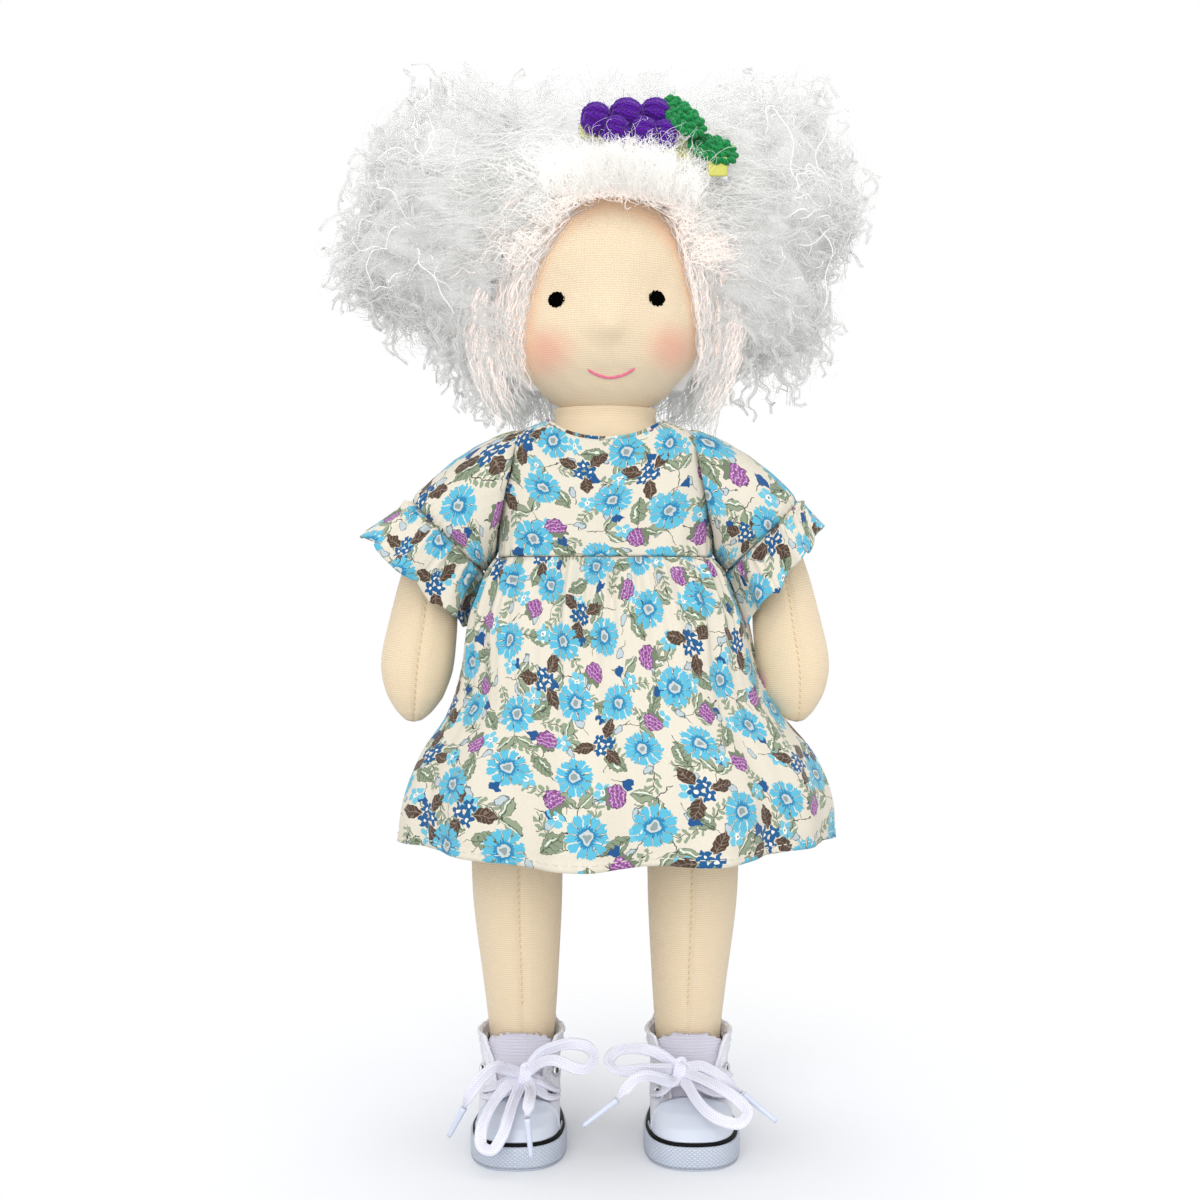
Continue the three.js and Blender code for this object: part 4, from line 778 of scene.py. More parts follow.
def hairMaterial(name, color, shine=0.35, glow=hair["glow"], clear=0.42):
    # Mohair fibre: pale and silky. It lets about two fifths of the light through, a faint glow stands for
    # the light that goes many times from fibre to fibre, and a clear share for the gaps in a strand
    made, tree, shader = newMaterial(name, 0.6, color, Specular_IOR_Level=shine, Emission_Strength=glow)
    shader.inputs["Emission Color"].default_value = linear(color)
    through = add(tree, "BsdfTranslucent", {"Color": linear(color)})
    both = add(tree, "MixShader", {0: 0.42, 1: shader, 2: through})
    shadow = add(tree, "Math", (add(tree, "LightPath").outputs["Is Shadow Ray"], 0.84), operation="MULTIPLY")
    share = add(tree, "Math", (shadow, clear), operation="MAXIMUM")
    thin = add(tree, "MixShader", {0: share, 1: both, 2: add(tree, "BsdfTransparent")})
    tree.links.new(thin.outputs[0], tree.nodes["Material Output"].inputs["Surface"])
    return made


whiteHair = hairMaterial("brushedWhiteMohair", "#ececeb", glow=0.1, clear=0.46)
palePink = hairMaterial("whiteMohairNearThePeachScalp", "#fdf3ee", 0.3, 0.42)
fluff = hairMaterial("fineWhiteMohairFluff", "#f7f6f4", 0.3, 0.24, 0.4)
brightHair = hairMaterial("silkyWhiteMohairStrand", "#ffffff", 0.5, 0.2, 0.15)


def hairCore():
    # Felted mohair: rough lumps of 4 mm and crossing fibres, drawn 0.5 mm wide so that they show; the low
    # places of the lumps are painted shade, and a faint glow is painted light for the light that goes from
    # fibre to fibre
    made, tree, shader = newMaterial("feltedMohairCore", 0.95, "#f2f2f1", Sheen_Weight=0.1,
                                     Emission_Strength=hair["glow"])
    shader.inputs["Emission Color"].default_value = linear("#f2f2f1")
    place = objectPlace(tree)
    warp = add(tree, "TexNoise", {"Vector": place, "Scale": 90.0, "Detail": 2.0})
    bent = add(tree, "VectorMath", {0: warp.outputs["Color"], "Scale": 0.012}, operation="SCALE")
    moved = add(tree, "VectorMath", (place, bent), operation="ADD")
    long = add(tree, "Mapping", {"Vector": moved, "Scale": (0.35, 1, 1)})
    lumps = add(tree, "TexNoise", {"Vector": long, "Scale": 900.0, "Detail": 5.0, "Roughness": 0.7})
    # Painted shade: the lumps are darker where they are low
    tone = add(tree, "MapRange", {"Value": lumps.outputs["Fac"], "From Min": 0.3, "From Max": 0.7,
                                  "To Min": 0.86, "To Max": 1.0})
    paint(tree, shader, linear("#d4d4d3")[:3], tone)
    bumpInto(tree, shader, lumps.outputs["Fac"], 0.0008, 0.7)
    return made


coreFelt = hairCore()


def crownPoint(a, h, grow=0.0):
    # A point of the crown: a is the angle round it (0 = the doll's left, -pi/2 = the face), h its height
    k = smooth(crownSize["knots"], 60)
    w = np.interp(h, k[:, 2], k[:, 0]) * crownSize["width"] + grow
    d = np.interp(h, k[:, 2], k[:, 1]) * crownSize["depth"] + grow
    z = crownSize["bottom"] + h * crownSize["height"]
    return np.stack(np.broadcast_arrays(w * np.cos(a), crownSize["shift"] + d * np.sin(a), z), -1)


def bunchPoint(side, angle, tilt, part):
    # A point of a side bunch: angle as the camera sees it, tilt to the front or back, part of the way out
    far = readTable(angle, reach[side])
    a = np.radians(angle)
    sign = 1 if side == "left" else -1
    c = hair["center"]
    flat = far * np.cos(tilt) * part
    y = c[1] + hair["depth"] * np.sin(tilt) * part
    return np.stack(np.broadcast_arrays(sign * (c[0] + flat * np.cos(a)), y, c[2] + flat * np.sin(a)), -1)


def winding(path, size, turns, phase):
    # Offsets that wind round each path a number of times
    t = np.linspace(0, 1, path.shape[1])[None, :, None]
    way = unit(np.gradient(path, axis=1))
    one = unit(np.cross(way, unit(rng.normal(size=(len(path), 1, 3)) + (0, 2.5, 0))))
    angle = 2 * np.pi * turns * t + phase
    return size * (one * np.sin(angle) + 0.6 * np.cross(way, one) * np.cos(angle))


def fibres(roots, bends, tips, coat):
    # Locks of fibres: each lock follows a quadratic curve from root through bend to tip, sways and
    # coils; its fibres keep beside it by an offset that closes up, and every fibre has its own crimp
    c = coats[coat]
    n, count = len(roots), c["count"]
    t = np.linspace(0, 1, c["points"])[None, :, None]
    path = (1 - t) ** 2 * roots[:, None] + 2 * t * (1 - t) * bends[:, None] + t ** 2 * tips[:, None]
    long = np.linalg.norm(tips - roots, axis=1)[:, None, None] * 1.15
    path = path + c["wander"] * t * np.sin(rng.uniform(0, 6.28, (n, 1, 3)) + t * rng.uniform(3, 7, (n, 1, 3)))
    if c["coil"]:
        turns = long / (c["pitch"] * rng.uniform(0.75, 1.35, (n, 1, 1)))
        path = path + winding(path, c["coil"] * step(t, 0.05, 0.7), turns, rng.uniform(0, 6.28, (n, 1, 1)))
    phase = np.repeat(rng.uniform(0, 6.28, (n, 1, 1)), count, axis=0)
    phase = phase + rng.normal(size=(n * count, 1, 1)) * 0.7
    path, long = np.repeat(path, count, axis=0), np.repeat(long, count, axis=0)
    offset = rng.normal(size=(n * count, 1, 3)) * c["spread"] * (1 - c["clump"] * np.sin(t * np.pi / 2))
    size = c["curl"] * (0.35 + 0.65 * t) * rng.uniform(0.6, 1.3, (n * count, 1, 1))
    turns = long / (hair["crimp"] * rng.uniform(0.75, 1.35, (n * count, 1, 1)))
    return path + offset + winding(path, size, turns, phase)


# The inner edge of the hair round the face, from the middle of the forehead down each temple
hairline = {
    "right": [(-3, 271), (-9.5, 267), (-14.4, 261), (-18.7, 255), (-21, 248), (-22.4, 242), (-23.4, 236),
              (-23.2, 228), (-20.5, 219)],
    "left": [(10, 271), (16.5, 267.5), (20.5, 261), (22.6, 254), (24.3, 248), (25.6, 241), (26.6, 234),
             (26.2, 226), (23, 218)],
}


def faceEdges(z):
    # x of the hairline on both sides at height z
    return [readTable(-z, [(-high, x) for x, high in hairline[side]]) for side in ("right", "left")]


def clearOfFace(paths, over):
    # Fibres that would reach over the face by more than a little are left out
    x, y, z = paths[..., 0], paths[..., 1], paths[..., 2]
    low, high = faceEdges(z)
    inside = (z < 269 - over) & (z > 200) & (x > low + over) & (x < high - over) & (y < 8)
    return paths[~inside.any(axis=1)]


def putHair(name, paths, material, thick=hair["thick"], over=0.0):
    # The highest tips bend over; the fibres are shared out to pieces of a size that is easy to handle
    z, high = paths[..., 2], hair["top"]
    paths[..., 2] = np.where(z > high, high + 5 * np.tanh((z - high) / 5), z)
    paths = clearOfFace(paths, over)
    parts = math.ceil(paths[..., 0].size * 6 / hair["most"])
    for i in range(parts):
        some = paths[i::parts]
        taper = thick * np.linspace(1, 0.5, some.shape[1])[None] * rng.uniform(0.7, 1.3, (len(some), 1))
        piece = tubes(f"{name}_{i + 1}" if parts > 1 else name, some, taper, 3, material)
        place(piece, "head", "hair")


def makeHairCores():
    a = fullTurn(110)
    h = np.linspace(0.05, 1, 70)[:, None]
    # The lower edge is rounded off and stays behind the loose hair
    grid = crownPoint(a[None], np.broadcast_to(h, (70, 110)), -1.5 - 9 * (1 - step(h, 0.05, 0.26)))
    x, z = grid[..., 0], grid[..., 2]
    lump = 0.8 * np.sin(x * 0.31 + 1) * np.sin(z * 0.27) + 0.5 * np.sin(x * 0.7 + z * 0.5)
    grid = grid + unit(grid - (0, 2.5, 262)) * lump[..., None]
    # The front is pressed back onto the head inside the hairline, so the face stays free
    x, y, z = [grid[..., i] for i in range(3)]
    low, high = faceEdges(z)
    bare = (z < 273) & (x > low - 11) & (x < high + 11) & (y < 0)
    grid[..., 1] = np.where(bare, -5, y)
    crown = skinOf("hair_cap_felt", grid, coreFelt, caps=(True, True))
    place(crown, "head", "hair", "hair_crown")

    for side, sign in bothSides:
        tilt = np.linspace(-np.pi / 2, np.pi / 2, 60)[:, None]
        angle = np.linspace(-180, 180, 121)[None, :-1]
        folded = np.where(np.abs(angle) > 120, np.sign(angle) * 120, angle)
        p = bunchPoint(side, folded, tilt, hair["core"])
        inward = np.clip(np.abs(angle) - 120, 0, 60) / 60
        p[..., 0] -= sign * inward * 14 * np.cos(tilt)
        p[..., 2] = p[..., 2] * (1 - inward * 0.9) + (hair["center"][2] * inward * 0.9)
        x, y, z = [p[..., i] for i in range(3)]
        lump = 1.5 * np.sin(x * 0.35) * np.sin(z * 0.3 + y * 0.3) + 0.8 * np.sin(z * 0.8 + x * 0.3)
        p = p + unit(p - (sign * 44, 2, 268)) * lump[..., None]
        core = skinOf(f"{side}_bunch_felt", p, coreFelt, caps=(True, True), flip=sign > 0)
        place(core, "head", "hair", f"{side}_bunch")


def makeBunchHair(side, sign):
    n = coats["bunch"]["locks"]
    angle = rng.uniform(-112, 118, n)
    tilt = np.arcsin(rng.uniform(-1, 0.9, n))
    tips = bunchPoint(side, angle, tilt, rng.uniform(0.8, 0.97, n))
    roots = np.array([sign * 43, 2, 266]) + rng.normal(size=(n, 3)) * (2, 6, 6)
    bends = bunchPoint(side, angle + rng.normal(size=n) * 16, tilt, rng.uniform(0.6, 0.95, n)) + (0, 0, 5)
    putHair(f"{side}_bunch_fibres", fibres(roots, bends, tips, "bunch"), whiteHair)

    # A second, shorter coat of curls lies over the core and hides it
    n = coats["bunchCoat"]["locks"]
    angle = rng.uniform(-115, 120, n)
    tilt = np.arcsin(rng.uniform(-1, 0.95, n))
    turn = rng.normal(size=n) * 24
    roots = bunchPoint(side, angle, tilt, hair["core"] - 0.05)
    tips = bunchPoint(side, angle + turn, tilt + rng.normal(size=n) * 0.3, rng.uniform(0.8, 0.95, n))
    tips = tips + (sign * 1.5, 0, -3)
    bends = bunchPoint(side, angle + turn * 0.3, tilt, rng.uniform(0.85, 1.0, n)) + (0, 0, 2)
    putHair(f"{side}_bunch_coat", fibres(roots, bends, tips, "bunchCoat"), whiteHair)

    # Curly locks stand out of the bunch's edge and droop more the lower they are
    n = coats["tufts"]["locks"]
    angle = rng.uniform(-114, 114, n)
    tilt = rng.normal(size=n) * 0.42
    droop = step(-angle, -40, 60) * rng.uniform(0.2, 1, n)
    roots = bunchPoint(side, angle, tilt, 0.62)
    tips = bunchPoint(side, angle + rng.normal(size=n) * 11, tilt, rng.uniform(0.98, 1.12, n))
    tips = tips - np.outer(droop, (sign * 4, 0, 7))
    bends = bunchPoint(side, angle + rng.normal(size=n) * 12, tilt, 1.0) + (0, 0, 1)
    putHair(f"{side}_tufts", fibres(roots, bends, tips, "tufts"), whiteHair, 0.17)

    # Single bright wavy strands on the bunch, and fly-away wisps at the outline
    n = coats["bright"]["locks"]
    angle = rng.uniform(-80, 100, n)
    tilt = rng.uniform(-1.25, -0.3, n)
    roots = bunchPoint(side, angle, tilt, 0.4)
    tips = bunchPoint(side, angle + rng.normal(size=n) * 25, tilt + 0.25, rng.uniform(0.8, 0.98, n))
    bends = bunchPoint(side, angle + rng.normal(size=n) * 20, tilt - 0.1, 1.02)
    bends[:, 1] -= 5
    putHair(f"{side}_bright_strands", fibres(roots, bends, tips, "bright"), brightHair, 0.22)
    n = coats["flyaways"]["locks"]
    angle = rng.uniform(-112, 118, n)
    tilt = rng.normal(size=n) * 0.5
    roots = bunchPoint(side, angle, tilt, 0.8)
    tips = bunchPoint(side, angle + rng.normal(size=n) * 12, tilt, rng.uniform(1.0, 1.12, n))
    bends = bunchPoint(side, angle + rng.normal(size=n) * 16, tilt, 1.05)
    putHair(f"{side}_flyaways", fibres(roots, bends, tips, "flyaways"), whiteHair, 0.09)


def makeBridges(side, sign):
    # Hair that runs on over the ties and bridges crown and bunch
    n = coats["bridge"]["locks"]
    a = rng.uniform(-1.5, 1.4, n)
    a = a if sign > 0 else np.pi - a
    h = rng.uniform(0.45, 0.99, n)
    roots = crownPoint(a, h, -1)
    angle = np.sort(rng.uniform(-60, 112, n))[np.argsort(np.argsort(h))]
    tips = bunchPoint(side, angle, np.sin(a) * rng.uniform(0.5, 1.3, n), rng.uniform(0.7, 1.0, n))
    bends = (roots + tips) / 2
    bends = bends + unit(bends - (0, 2, 250)) * rng.uniform(3, 8, (n, 1))
    bends[:, 1] += np.where(np.sin(a) < 0, -5, 5)
    putHair(f"{side}_bridge_fibres", fibres(roots, bends, tips, "bridge"), whiteHair)


def makeSideFalls(side, sign):
    # Hair that hangs beside and behind the cheeks, below the bunches; how low it hangs at each x
    lowest = {"left": [(16, 215), (24, 213), (28, 219), (38, 224), (64, 231)],
              "right": [(14, 217), (27, 215), (31, 211), (38, 210), (42, 215), (47, 220), (60, 236)]}[side]
    n = coats["falls"]["locks"]
    x = rng.uniform(20, 56, n)
    y = rng.uniform(-16, 20, n)
    low = readTable(x, lowest)
    tips = np.stack([sign * x, y, low + np.abs(rng.normal(size=n)) * 5], -1)
    roots = np.stack([sign * np.minimum(x * 0.85 + 3, 40), y * 0.9, low + rng.uniform(22, 38, n)], -1)
    bends = (roots + tips) / 2 + np.stack([sign * rng.uniform(0, 5, n), -np.ones(n), np.zeros(n)], -1)
    putHair(f"{side}_side_falls", fibres(roots, bends, tips, "falls"), whiteHair, 0.17)
    # The nape: close to the neck and behind it
    n = coats["nape"]["locks"]
    a = rng.uniform(0.1, 1.6, n) if sign > 0 else rng.uniform(1.55, 3.04, n)
    roots = crownPoint(a, rng.uniform(0.12, 0.3, n), -3)
    tips = crownPoint(a, 0.05, -rng.uniform(2, 9, n)) - np.outer(rng.uniform(3, 12, n), (0, 0, 1))
    bends = (roots + tips) / 2 + unit(roots * (1, 1, 0)) * 3
    putHair(f"{side}_nape_fibres", fibres(roots, bends, tips, "nape"), whiteHair)


def makeCrownHair():
    n = coats["crown"]["locks"]
    a = rng.uniform(-np.pi, np.pi, n)
    h = rng.uniform(0.02, 0.99, n) ** 0.8
    sideAngle = np.where(np.cos(a) > 0, 0, np.where(a > 0, np.pi, -np.pi))
    goal = 0.55
    part = rng.uniform(0.25, 0.55, n)
    roots = crownPoint(a, h, -1.5)
    around, down = (sideAngle - a) * part, (goal - h) * part
    tips = crownPoint(a + around, h + down * 0.8 - 0.03, rng.uniform(0.8, 3.2, n))
    bends = crownPoint(a + around * 0.5, h + down * 0.3, rng.uniform(2.5, 5, n))
    putHair("crown_fibres", fibres(roots, bends, tips, "crown"), whiteHair)

    # The loose puff above and behind the clip, in soft curly locks
    n = coats["top"]["locks"]
    x = rng.uniform(-44, 54, n)
    y = rng.uniform(-16, 26, n)
    top = 300 - 0.006 * (x - 3) ** 2 - 0.008 * (y - 4) ** 2
    roots = np.stack([x, y, top - 5], -1)
    reachUp = rng.uniform(7, 20, n) * np.clip(1.15 - np.abs(x - 6) / 80, 0.5, 1)
    tips = roots + np.stack([x * 0.16 + rng.normal(size=n) * 7, rng.normal(size=n) * 5, reachUp + 3], -1)
    tips[:, 2] = np.minimum(tips[:, 2], 315 + rng.normal(size=n) * 0.8)
    bends = roots + (tips - roots) * 0.6 + rng.normal(size=(n, 3)) * (6, 4, 2)
    putHair("top_fibres", fibres(roots, bends, tips, "top"), whiteHair, 0.2)


# Lower and upper edge of the fuzzy roll over the forehead, under the clip: x and height
rollFoot = [(-23, 252), (-18.7, 256), (-14.4, 262), (-9.5, 268), (-3, 270), (10, 270), (16.5, 268.5),
            (20.5, 262), (25, 252)]
rollTop = [(-34, 279), (-20, 282), (-8, 283), (4, 284), (14, 282.3), (20, 280.3), (26, 278.3), (42, 274)]


def rollRoots(x, z):
    # Points on the front of the crown
    w = np.interp(z, [262, 274, 288, 298], [41, 41, 37.5, 29])
    d = np.interp(z, [262, 274, 288, 298], [37.5, 37, 34.5, 28])
    y = 2.5 - d * np.sqrt(np.clip(1 - (x / w) ** 2, 0.05, 1))
    out = unit(np.stack([x / w ** 2, (y - 2.5) / d ** 2, (z - 262) / 60 ** 2], -1))
    return np.stack([x, y + 2, z], -1), out


def makeFringe():
    # The fuzzy roll over the forehead: short curly fibres that stand off the cap, longer under the clip
    n = coats["fringe"]["locks"]
    x = np.clip(5 + rng.normal(size=n) * 15, -34, 42)
    high = readTable(x, rollTop)
    line = readTable(x, rollFoot)
    z = line + 1 + (high - line - 1) * rng.uniform(0, 1, n)
    roots, out = rollRoots(x, z)
    height = (z - line) / (high - line)
    tips = roots + out * (rng.uniform(2.5, 5.5, n) + 3.5 * height ** 2)[:, None]
    tips = tips + rng.normal(size=(n, 3)) * (2.6, 0.8, 2.2)
    tips[:, 0] += (x - 4) * 0.12
    tips[:, 1] -= 3.5 * height ** 2
    tips[:, 2] = np.maximum(tips[:, 2], line - 3)
    bends = roots + out * rng.uniform(3, 7, (n, 1)) + rng.normal(size=(n, 3)) * (2, 0.6, 2)
    paths = fibres(roots, bends, tips, "fringe")
    peach = rng.uniform(0, 1, n) > 0.35 + height * 1.4
    putHair("fringe_fibres", paths[~peach], fluff, 0.19, 2.2)
    putHair("fringe_peach_fibres", paths[peach], palePink, 0.19, 2.2)

    # The roll stands up in front of the clip's lever and the lower grapes
    n = coats["roll"]["locks"]
    x = np.clip(5 + rng.normal(size=n) * 11, -16, 25)
    high = readTable(x, rollTop)
    roots = np.stack([x, rng.uniform(-39, -36, n), high - rng.uniform(8, 13, n)], -1)
    tips = np.stack([x + rng.normal(size=n) * 2.5, rng.uniform(-48, -43, n) + 0.012 * (x - 6) ** 2,
                     high - rng.exponential(2.2, n)], -1)
    bends = (roots + tips) / 2 + np.stack([rng.normal(size=n) * 2, np.full(n, -4.0), np.zeros(n)], -1)
    putHair("roll_before_the_clip", fibres(roots, bends, tips, "roll"), fluff, 0.15)

    # Single long hairs climb over the lower edge of the crochet work
    n = coats["overClip"]["locks"]
    x = rng.uniform(-8, 27, n)
    low = readTable(x, rollTop)
    roots = np.stack([x, np.full(n, -37.0), low - 3], -1)
    tips = np.stack([x + rng.normal(size=n) * 5, -42 - rng.uniform(0, 4, n) + 0.1 * np.abs(x - 5),
                     low + rng.uniform(0, 6, n)], -1)
    bends = (roots + tips) / 2 + np.stack([rng.normal(size=n) * 3, np.full(n, -5.0),
                                           rng.uniform(-1, 3, n)], -1)
    putHair("hairs_over_the_clip", fibres(roots, bends, tips, "overClip"), brightHair, 0.055)


def makeTemples(side, sign):
    # Thin wavy strands that frame the face, over the peach scalp
    edge = [(22, 276), (31, 267), (37, 257), (40, 247), (41, 237), (39, 227), (35, 216), (30, 207)]
    line = smooth([(x, 0, z) for x, z in hairline[side]], 60)
    outer = smooth([(sign * x, 0, z) for x, z in edge], 60)
    n, k = 260, 26
    m = rng.uniform(0, 1, n)[:, None] ** 0.9
    start = rng.uniform(0, 0.35, (n, 1))
    end = rng.uniform(0.6, 1.0, (n, 1))
    i = (start + (end - start) * np.linspace(0, 1, k)) * 59
    whole = np.arange(60)
    x, z = [(pointsAt(line, whole, i) * (1 - m[..., None]) + pointsAt(outer, whole, i) * m[..., None])[..., c]
            for c in (0, 2)]
    headShare = readTable(z, [(214, 0.5), (222, 0.8), (235, 1), (262, 0.95), (274, 0.8)])
    crownShare = readTable(z, [(207, 0.3), (225, 0.8), (240, 1)])
    onHead = 29.8 * np.sqrt(np.clip(1 - (x / 31.5) ** 2, 0.0, 1)) * headShare
    onCrown = 36 * np.sqrt(np.clip(1 - (x / 43) ** 2, 0.0, 1)) * crownShare - 2.5
    y = -(onHead * (1 - m) + onCrown * m) - 1.2
    long = np.sqrt(np.diff(x, axis=1) ** 2 + np.diff(z, axis=1) ** 2).sum(1)[:, None]
    turn = 2 * np.pi * long * np.linspace(0, 1, k) / rng.uniform(5, 9, (n, 1)) + rng.uniform(0, 6.28, (n, 1))
    size = rng.uniform(0.25, 0.8, (n, 1))
    x = x + size * np.sin(turn) + rng.normal(size=(n, 1)) * 0.5
    path = np.stack([x, y + 0.5 * size * np.cos(turn), z], -1)
    putHair(f"{side}_temple_fibres", path[n // 3:], whiteHair, 0.19, 9)
    putHair(f"{side}_temple_peach_fibres", path[:n // 3], palePink, 0.24, 9)


makeHairCores()
makeCrownHair()
makeFringe()
for side, sign in bothSides:
    makeBunchHair(side, sign)
    makeBridges(side, sign)
    makeSideFalls(side, sign)
    makeTemples(side, sign)
print("hair made")


# Dress: printed plain-weave cotton, 0.5 mm thick, its print drawn in millimetres of cloth

cloth = {"thick": 0.5, "ground": "#ded7c7"}
# Each layer of the print: how far apart its motifs are, how the lattice is turned and shifted, how loose
# it is and which of its places are used. The main motifs share one lattice, half a cell apart
layers = {
    "stem": {"cell": 14.0, "turn": 0.5, "shift": (3.1, 7.7), "loose": 0.3},
    "pale": {"cell": 11.0, "turn": 1.3, "shift": (8.3, 2.9), "loose": 0.3},
    "pair": {"cell": 19.0, "turn": 0.16, "shift": (323.0, 9.5), "loose": 0.3},
    "sage": {"cell": 19.0, "turn": 0.16, "shift": (218.5, 0.0), "loose": 0.3},
    "bud": {"cell": 17.0, "turn": 1.1, "shift": (6.4, 12.2), "loose": 0.3},
    "small": {"cell": 15.5, "turn": 0.7, "shift": (9.2, 3.3), "loose": 0.3},
    "brown": {"cell": 19.0, "turn": 0.16, "shift": (104.5, 104.5), "loose": 0.3, "some": (0.56, 1.0)},
    "berry": {"cell": 19.0, "turn": 0.16, "shift": (104.5, 104.5), "loose": 0.3, "some": (0.0, 0.56)},
    "daisy": {"cell": 19.0, "turn": 0.16, "shift": (0.0, 0.0), "loose": 0.3},
}


def scatter(tree, uv, cell, turn, shift, loose, some=(-1.0, 2.0)):
    # Loosely spaced points; gives each place's offset from its nearest point in mm, turned by chance
    put = add(tree, "Mapping", {"Vector": uv, "Location": (shift[0] / cell, shift[1] / cell, 0.0),
                                "Rotation": (0.0, 0.0, turn), "Scale": (1 / cell, 1 / cell, 1.0)})
    spots = add(tree, "TexVoronoi", {"Vector": put, "Scale": 1.0, "Randomness": loose},
                voronoi_dimensions="2D")
    away = add(tree, "VectorMath", (put, spots.outputs["Position"]), operation="SUBTRACT")
    size = add(tree, "VectorMath", {0: away, "Scale": cell}, operation="SCALE")
    chance = add(tree, "SeparateColor", (spots.outputs["Color"],))
    angle = add(tree, "Math", (chance.outputs[0], 2 * math.pi), operation="MULTIPLY")
    turned = add(tree, "VectorRotate", {"Vector": size, "Angle": angle}, rotation_type="Z_AXIS")
    parts = add(tree, "SeparateXYZ", (turned,))
    known = {"x0": parts.outputs["X"], "y": parts.outputs["Y"], "a": chance.outputs[1],
             "middle": sum(some) / 2, "span": (some[1] - some[0]) / 2}
    # A place that isn't used has its motif pushed out of its cell
    return formula(tree, known, """
        used COMPARE a middle span
        push MULTIPLY_ADD used -99 99
        x ADD x0 push
        xx MULTIPLY x x
        rr MULTIPLY_ADD y y xx
        r SQRT rr
        t ARCTAN2 y x
        side ABSOLUTE y
    """)


